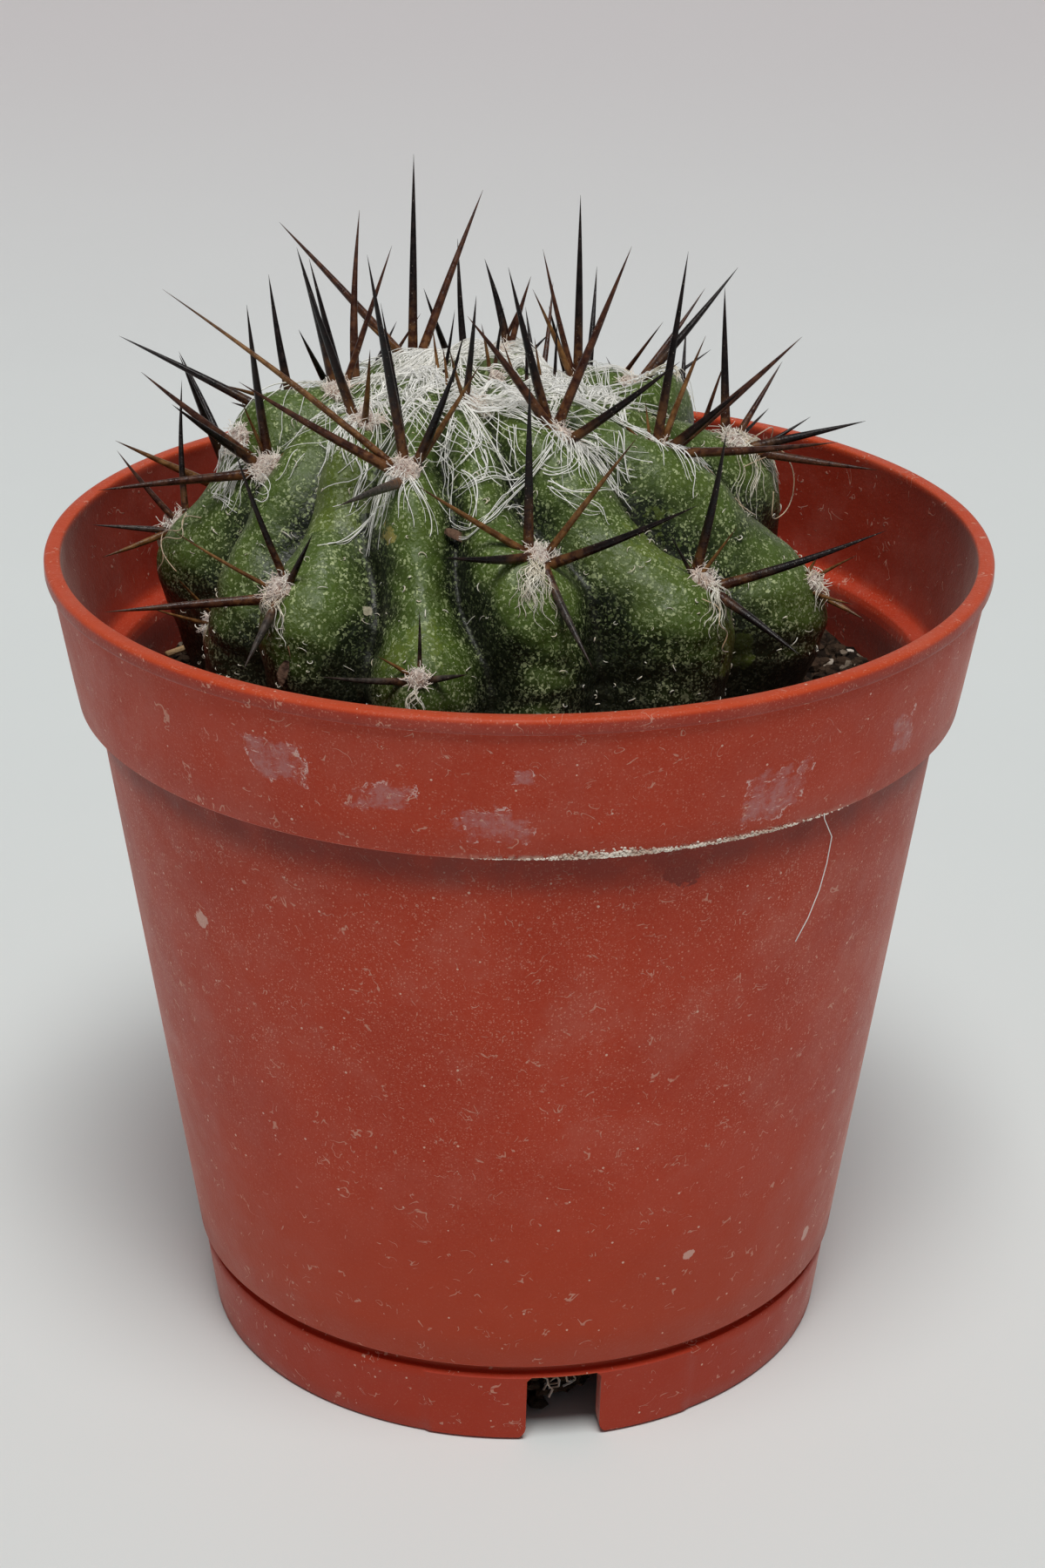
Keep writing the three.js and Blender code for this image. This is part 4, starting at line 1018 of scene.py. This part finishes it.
def strung(table, steps, spread):
    """Paths of the hairs that pass through chosen places, on the same map."""
    paths = []
    for count, knots in table:
        turn, down = np.array(knots, float).T
        flat = (down / DOWN_PER_MM * np.array([np.sin(np.radians(turn)), -np.cos(np.radians(turn))])).T
        along = np.append(0, np.cumsum(np.linalg.norm(np.diff(flat, axis=0), axis=1)))
        for _ in range(count):
            share = np.linspace(rng.uniform(0, 0.15), rng.uniform(0.8, 1), steps)
            line = np.stack([np.interp(share * along[-1], along, flat[:, k]) for k in (0, 1)], 1)
            line = sum(np.pad(line, ((4, 4), (0, 0)), "edge")[k:k + steps] for k in range(9)) / 9
            drift = rng.normal(0, spread, 2) + share[:, None] * rng.normal(0, spread, 2)
            sway = 0.10 * np.sin(rng.uniform(0, 6.3) + rng.uniform(3, 7) * share)[:, None]
            paths.append(line + drift + sway)
    return np.array(paths)


def lay(name, flat, lift, radius, material):
    """Hairs laid over the plant from paths on the flat map. They bridge the furrows."""
    count, steps, _ = flat.shape
    turn = np.degrees(np.arctan2(flat[..., 0], -flat[..., 1]))
    point, normal, _ = plant_surface(turn, DOWN_PER_MM * np.hypot(flat[..., 0], flat[..., 1]))
    taut = sum(np.pad(point, ((0, 0), (5, 5), (0, 0)), "edge")[:, k:k + steps] for k in range(11)) / 11
    over = np.maximum(np.sum((taut - point) * normal, -1), 0)
    share = np.linspace(0, 1, steps)
    arch = np.sin(math.pi * np.minimum(0.12 + share, 1)) * rng.uniform(0.4, 1, (count, 1))
    height = 0.05 + over + lift * (rng.uniform(0, 0.6, (count, 1)) + arch)
    size = radius * (0.7 + 0.8 * rng.uniform(0, 1, (count, 1)) ** 2) * np.linspace(1, 0.55, steps)
    strands(name, point + height[..., None] * normal, size, 3, material, "cactus_flesh")


white_wool = wool_material("white_wool", (0.98, 0.97, 0.92), (0.94, 0.92, 0.84), 0.10)
cream_wool = wool_material("cream_wool", (0.95, 0.91, 0.76), (0.78, 0.66, 0.46), 0.03)
lay("crown_wool", bundled(CROWN_WOOL, 5, 22, 0.12, 0.12, 0.0), 0.40, 0.042, white_wool)
lay("hanging_wool", bundled(HANGING_WOOL, 4, 24, 0.18, 0.5, 0.35), 0.40, 0.034, white_wool)
lay("long_wool", strung(LONG_WOOL, 40, 0.13), 0.25, 0.037, white_wool)
lay("tangled_wool", bundled(TANGLED_WOOL, 5, 32, 0.3, 2.4, 0.9), 0.40, 0.032, cream_wool)

# Short curved bits that lie on the skin.
bit_turn = rng.uniform(-180, 180, BITS)
bit_down = np.degrees(np.arccos(rng.uniform(-0.1, 0.95, BITS)))
bit_heading = rng.uniform(0, 2 * np.pi, BITS)
bit_bend = rng.uniform(-0.9, 0.9, BITS)
bit_step = rng.uniform(0.04, 0.13, BITS)
path = []
for i in range(len(BIT_SHAPE)):
    point, normal, _ = plant_surface(bit_turn, bit_down)
    path.append(point + normal * (0.02 + 0.10 * math.sin(math.pi * i / (len(BIT_SHAPE) - 1))))
    bit_turn = bit_turn + np.degrees(bit_step * np.sin(bit_heading) / np.maximum(outline(bit_down)[0], 2))
    bit_down = bit_down + DOWN_PER_MM * bit_step * np.cos(bit_heading)
    bit_heading = bit_heading + bit_bend
bit_radii = np.outer(rng.uniform(0.018, 0.045, BITS), BIT_SHAPE)
strands("skin_bits", np.stack(path, 1), bit_radii, 3, cream_wool, "cactus_flesh")

thread_paths = []
for knots in THREADS:
    share = np.linspace(0, 1, THREAD_STEPS)
    at_knots = np.linspace(0, 1, len(knots))
    columns = [np.pad(np.interp(share, at_knots, column), 3, "edge") for column in np.array(knots, float).T]
    turn, down, rise = [np.convolve(column, np.ones(7) / 7, "valid") for column in columns]
    point, normal, _ = plant_surface(turn, down)
    thread_paths.append(point + normal * rise[:, None])
tan_paint = wool_material("tan_thread", (0.80, 0.62, 0.38), (0.50, 0.30, 0.14))
strands("tan_threads", thread_paths, THREAD_RADIUS, 5, tan_paint, "cactus_flesh")


def flake(degrees, down, turn, length, width, curl):
    """A thin withered scale that stands off the skin and curls."""
    at, across, up, normal = areole_frame(degrees, down)
    along = math.cos(turn) * across + math.sin(turn) * up
    beside = np.cross(normal, along)
    points = []
    for i in range(FLAKE_RINGS):
        s = i / (FLAKE_RINGS - 1)
        spread = width * (0.25 + math.sin(math.pi * min(1, 0.12 + s * 0.88)) ** 0.7) * rng.uniform(0.85, 1.1)
        middle = at + along * length * s + normal * (0.15 + curl * math.sin(2.2 * s))
        for j in range(FLAKE_SIDES):
            a = 2 * math.pi * j / FLAKE_SIDES
            cup = 0.35 * abs(math.cos(a)) ** 2 * spread
            points.append(middle + spread * math.cos(a) * beside + (0.045 * math.sin(a) + cup) * normal)
    ends = [list(range(FLAKE_SIDES))[::-1], list(range(len(points) - FLAKE_SIDES, len(points)))]
    return points, grid_faces(FLAKE_RINGS, FLAKE_SIDES, True) + ends


flakes = Heap()
for shape in FLAKES:
    flakes.add(*flake(*shape))
flake_paint = grit_material("withered_scale", (0.035, 0.016, 0.011), (0.20, 0.115, 0.075))
settle(flakes.made("withered_scales", flake_paint, smooth=True), "cactus_flesh")

# The pot.

LIP_FOOT = POT_HEIGHT - LIP_WIDTH
MOUTH = LIP_RADIUS - LIP_WIDTH
GROOVE = FOOT_TOP_RADIUS - GROOVE_DEPTH
LEDGE = BAND_FOOT_Z + WALL
FOOT_INSIDE = FOOT_RADIUS - FOOT_WALL
FOOT_TOP_INSIDE = FOOT_TOP_RADIUS - FOOT_WALL
BAND_INSIDE = BAND_FOOT_RADIUS - WALL
BODY_TOP_INSIDE = BODY_TOP_RADIUS - WALL
BODY_FOOT_INSIDE = BODY_FOOT_RADIUS - WALL
POT_PROFILE = [
    (0.01, FLOOR_UNDERSIDE), (10, FLOOR_UNDERSIDE), (FOOT_TOP_INSIDE - 0.15, FLOOR_UNDERSIDE),
    (FOOT_TOP_INSIDE, FLOOR_UNDERSIDE - 0.15), (FOOT_INSIDE, 0.12), (FOOT_INSIDE + 0.12, 0),
    (FOOT_RADIUS - 0.15, 0), (FOOT_RADIUS, 0.15), (19.25, 1.2), (19.4, 2.4), (19.6, 4.0),
    (FOOT_TOP_RADIUS, FOOT_TOP_Z - 0.12), (FOOT_TOP_RADIUS - 0.08, FOOT_TOP_Z),
    (GROOVE + 0.08, FOOT_TOP_Z + 0.03),
    (GROOVE, FOOT_TOP_Z + 0.12), (GROOVE, BODY_FOOT_Z - 0.12), (GROOVE + 0.1, BODY_FOOT_Z - 0.02),
    (BODY_FOOT_RADIUS - 0.12, BODY_FOOT_Z), (BODY_FOOT_RADIUS + 0.02, BODY_FOOT_Z + 0.14),
    *((body_radius(z), z) for z in (8, 12, 17, 22, 27, 32, 36, 39, 40.4, 40.75)),
    (BODY_TOP_RADIUS + 0.1, BAND_FOOT_Z - 0.02), (BAND_FOOT_RADIUS - 0.12, BAND_FOOT_Z),
    (BAND_FOOT_RADIUS + 0.01, BAND_FOOT_Z + 0.12), (26.2, 42.6), (26.55, 44.7), (26.9, 46.8), (27.13, 48.1),
    (27.17, LIP_FOOT - 0.04), (27.25, LIP_FOOT),
    (LIP_RADIUS - 0.05, LIP_FOOT + 0.1), (LIP_RADIUS, LIP_FOOT + 0.25),
    (LIP_RADIUS, POT_HEIGHT - 0.22), (LIP_RADIUS - 0.07, POT_HEIGHT - 0.06), (LIP_RADIUS - 0.22, POT_HEIGHT),
    (MOUTH + 0.12, POT_HEIGHT), (MOUTH + 0.05, POT_HEIGHT - 0.04), (MOUTH + 0.01, POT_HEIGHT - 0.12),
    (MOUTH, POT_HEIGHT - 0.3), (MOUTH - 0.1, 48), (25.95, 46), (25.5, 44),
    (BAND_INSIDE + 0.04, LEDGE + 0.25), (BAND_INSIDE - 0.2, LEDGE),
    (BODY_TOP_INSIDE + 0.15, LEDGE), (BODY_TOP_INSIDE, LEDGE - 0.15),
    *((body_radius(z) - WALL, z) for z in (40, 36, 30, 24, 18, 12, 8)),
    (BODY_FOOT_INSIDE, FLOOR_TOP + 0.2), (BODY_FOOT_INSIDE - 0.2, FLOOR_TOP),
    (10, FLOOR_TOP), (0.01, FLOOR_TOP),
]
turns = np.radians(360 * np.arange(POT_COLUMNS) / POT_COLUMNS)
profile_r, profile_z = np.array(POT_PROFILE).T
pot_r = np.repeat(profile_r[:, None], POT_COLUMNS, 1)
pot_z = np.repeat(profile_z[:, None], POT_COLUMNS, 1)
outer_foot = (profile_r > FOOT_RADIUS - 0.01) & (profile_z < FOOT_TOP_Z - 0.05)
for slot_turn in SLOT_TURNS:
    aside = np.abs((np.degrees(turns) - slot_turn + 540) % 360 - 180)
    panel = 1 - smoothstep(PANEL_HALF_ANGLE - 0.4, PANEL_HALF_ANGLE + 0.6, aside)
    pot_r[outer_foot] += PANEL_RISE * panel
wobble = 0.03 * np.sin(2 * turns + 0.6) + 0.02 * np.sin(5 * turns + 2.0)
pot_r += wobble * smoothstep(8, 40, pot_z) * (1 - smoothstep(47.9, 48.4, pot_z))
pot_points = np.stack([pot_r * np.sin(turns), -pot_r * np.cos(turns), pot_z], -1).reshape(-1, 3)
pot_faces = [face[::-1] for face in grid_faces(len(POT_PROFILE), POT_COLUMNS, True)]
pot_faces.append(list(range(POT_COLUMNS))[::-1])
pot_faces.append(list(range((len(POT_PROFILE) - 1) * POT_COLUMNS, len(POT_PROFILE) * POT_COLUMNS)))
pot = make_object("pot_shell", pot_points, pot_faces, pot_material())


def turned(point, angle):
    """A point, or arrays of X, Y and Z, turned about the upright axis."""
    x, y, z = point
    c = math.cos(angle)
    s = math.sin(angle)
    return x * c - y * s, x * s + y * c, z


def prism(shape, depths, along_y, angle):
    """A cutter: an outline in X and Z pushed along -Y, or in X and Y pushed along Z, then turned."""
    n = len(shape)
    points = [(a, depth, b) if along_y else (a, b, depth) for depth in depths for a, b in shape]
    points = [turned(point, angle) for point in points]
    faces = [[i, (i + 1) % n, n + (i + 1) % n, n + i] for i in range(n)]
    return points, faces + [list(range(n))[::-1], list(range(n, 2 * n))]


corner = [(math.sin(a), math.cos(a)) for a in np.linspace(0, math.pi / 2, 7)]
right_side = [(SLOT_HALF_WIDTH + SLOT_CORNER * (1 - s), SLOT_CORNER * (1 - c)) for s, c in corner]
right_side = [(SLOT_HALF_WIDTH - 0.25, SLOT_TOP), (SLOT_HALF_WIDTH, SLOT_SIDE_TOP)] + right_side[::-1]
right_side.append((SLOT_HALF_WIDTH + SLOT_CORNER, -1))
slot_line = [(-x, z) for x, z in right_side[-2::-1]] + right_side + [(-SLOT_HALF_WIDTH - SLOT_CORNER, -1)]
drain_line = [(-SLOT_HALF_WIDTH, DRAIN_NEAR), (SLOT_HALF_WIDTH, DRAIN_NEAR),
              (SLOT_HALF_WIDTH, DRAIN_FAR), (-SLOT_HALF_WIDTH, DRAIN_FAR)]
cutters = Heap()
for slot_turn in SLOT_TURNS:
    cutters.add(*prism(slot_line, SLOT_DEPTHS, True, math.radians(slot_turn)))
    cutters.add(*prism(drain_line, DRAIN_HEIGHTS, False, math.radians(slot_turn)))
cutter = cutters.made("cutter", pot.data.materials[0])
work = bmesh.new()
work.from_mesh(cutter.data)
bmesh.ops.recalc_face_normals(work, faces=work.faces)
work.to_mesh(cutter.data)
work.free()
cut = pot.modifiers.new("slots", "BOOLEAN")
cut.operation = "DIFFERENCE"
cut.solver = "EXACT"
cut.use_self = True
cut.object = cutter
bpy.context.view_layer.update()
baked = bpy.data.meshes.new_from_object(pot.evaluated_get(bpy.context.evaluated_depsgraph_get()))
pot.modifiers.clear()
pot.data = baked
bpy.data.objects.remove(cutter)
baked.set_sharp_from_angle(angle=math.radians(SHARP_EDGE))
settle(pot, "pot_plastic", "pot")

# Soil and small things.

soil_turns = np.radians(360 * np.arange(SOIL_COLUMNS) / SOIL_COLUMNS)
rings = []
for down in BURIED_DOWN:
    r, z = outline(down)
    if z < SOIL_TOP + SOIL_MOUND:
        rings.append((r + STEM_GAP, z, PLANT_X, 0.0))
hole_r = outline(STEM_DOWN)[0] + STEM_GAP
wall_top = body_radius(SOIL_TOP) - WALL - CLEARANCE
for share in np.linspace(0, 1, SOIL_RINGS):
    rest = 1 - share
    rings.append((hole_r + share * (wall_top - hole_r), SOIL_TOP + SOIL_MOUND * rest, PLANT_X * rest, 1.0))
rings += [(body_radius(z) - WALL - CLEARANCE, z, 0.0, 0.0) for z in SOIL_WALL_Z]
soil_points = []
for r, z, centre, loose in rings:
    x = centre + r * np.sin(soil_turns)
    y = -r * np.cos(soil_turns)
    bumps = 0.28 * np.sin(1.9 * x + 0.7 * y) * np.sin(1.3 * y - 0.8 * x)
    bumps = bumps + rng.uniform(-0.22, 0.22, SOIL_COLUMNS)
    soil_points.append(np.stack([x, y, z + loose * bumps], -1))
soil_points = np.concatenate(soil_points)
soil_faces = [face[::-1] for face in grid_faces(len(rings), SOIL_COLUMNS, True)]
soil_faces.append(list(range(SOIL_COLUMNS)))
soil_faces.append(list(range((len(rings) - 1) * SOIL_COLUMNS, len(rings) * SOIL_COLUMNS))[::-1])
soil = make_object("soil_fill", soil_points, soil_faces, soil_material())
settle(soil, "potting_soil", "soil")


def lump(centre, size):
    """An uneven pebble: a round cage of two rings and two poles, with each point pushed in or out."""
    points = [centre + size * rng.uniform(0.75, 1.1) * np.array([0, 0, 0.8])]
    for level, radius in ((0.45, 0.85), (-0.2, 1.0)):
        for i in range(6):
            a = math.pi * i / 3 + level
            way = np.array([radius * math.cos(a), radius * math.sin(a), level])
            points.append(centre + size * rng.uniform(0.75, 1.25) * way)
    points.append(centre - size * np.array([0, 0, 0.7]))
    faces = []
    for i in range(6):
        j = (i + 1) % 6
        faces += [[0, 1 + i, 1 + j], [1 + i, 7 + i, 7 + j, 1 + j], [13, 7 + j, 7 + i]]
    return points, faces


def scatter(name, count, smallest, largest, material):
    heap = Heap()
    for _ in range(count):
        turn = rng.uniform(0, 2 * math.pi)
        share = math.sqrt(rng.uniform(0, 1))
        r = hole_r + 0.5 + share * (wall_top - hole_r - 0.9)
        size = rng.uniform(smallest, largest)
        centre = np.array([PLANT_X * (1 - share) + r * math.sin(turn), -r * math.cos(turn),
                           SOIL_TOP + SOIL_MOUND * (1 - share) + 0.25 * size])
        heap.add(*lump(centre, size))
    settle(heap.made(name, material), "potting_soil")


scatter("soil_crumbs", 900, 0.18, 0.62, soil.data.materials[0])
scatter("soil_grit", 90, 0.15, 0.42, grit_material("pale_grit", (0.32, 0.26, 0.20), (0.66, 0.60, 0.52)))

# Dark soil held by the roots behind the front slot.
plug = Heap()
for _ in range(SLOT_LUMPS):
    a = math.radians(SLOT_TURNS[0] + rng.uniform(-6.5, 6.5))
    r = rng.uniform(13.6, 16.4)
    centre = np.array([r * math.sin(a), -r * math.cos(a), rng.uniform(0.7, 5.9)])
    plug.add(*lump(centre, rng.uniform(0.3, 0.62)))
settle(plug.made("soil_in_slot", soil.data.materials[0]), "potting_soil")

# Root fibres that show in the front slot.
root_paths = []
for _ in range(ROOTS):
    place = np.array([rng.uniform(-1.7, 1.9), rng.uniform(-17.6, -15.0), 6.3])
    path = [place]
    for _ in range(ROOT_STEPS - 1):
        place = place + np.array([0.35 * rng.normal(), 0.25 * rng.normal(), -0.42])
        place = np.clip(place, (-1.9, -17.4, 0.3), (1.9, -14.4, 6.3))
        path.append(place)
    root_paths.append(path)
root_paths = turned(np.moveaxis(np.array(root_paths), -1, 0), math.radians(SLOT_TURNS[0]))
root_paint = wool_material("root_fibre", (0.50, 0.36, 0.22), (0.24, 0.14, 0.08))
strands("root_fibres", np.stack(root_paths, -1), ROOT_RADIUS, 4, root_paint, "potting_soil")

# A fallen spine on the soil.
fallen = [[(-21.6, 6.4, 39.5), (-19.9, 8.0, 39.6), (-18.6, 9.6, 39.7), (-17.6, 11.2, 39.8)]]
litter_paint = grit_material("dry_horn", (0.42, 0.24, 0.10), (0.62, 0.42, 0.22))
strands("fallen_spine", fallen, [0.20, 0.20, 0.15, 0.03], 7, litter_paint, "potting_soil")

# Limescale, dried on in a ragged line along the band's lower edge.
limescale = Heap()
lumps = 0
while lumps < LIMESCALE_LUMPS:
    x = rng.uniform(LIMESCALE_X[0], LIMESCALE_X[-1])
    weight = np.interp(x, LIMESCALE_X, LIMESCALE_SHARE)
    if rng.uniform(0, 1) > weight:
        continue
    z = BAND_FOOT_Z + 0.05 + abs(rng.normal()) * 0.20 * weight
    r = BAND_FOOT_RADIUS + 0.02 + 0.18 * (z - BAND_FOOT_Z)
    centre = np.array([x, -math.sqrt(r * r - x * x), z])
    limescale.add(*lump(centre, rng.uniform(0.02, 0.11) * (0.5 + 0.6 * weight)))
    lumps += 1
scale_paint = grit_material("limescale", (0.58, 0.42, 0.33), (0.88, 0.80, 0.70))
settle(limescale.made("limescale", scale_paint), "pot_plastic")

# The hair on the band.
band_hair = np.array(HAIR_PATH)
for row in band_hair:
    limit = body_radius(row[2]) + 0.06 if row[2] < 40.8 else BAND_FOOT_RADIUS + 0.10
    row[:2] *= limit / math.hypot(row[0], row[1])
strands("hair_on_pot", [band_hair], HAIR_RADIUS, 4, white_wool, "pot_plastic")
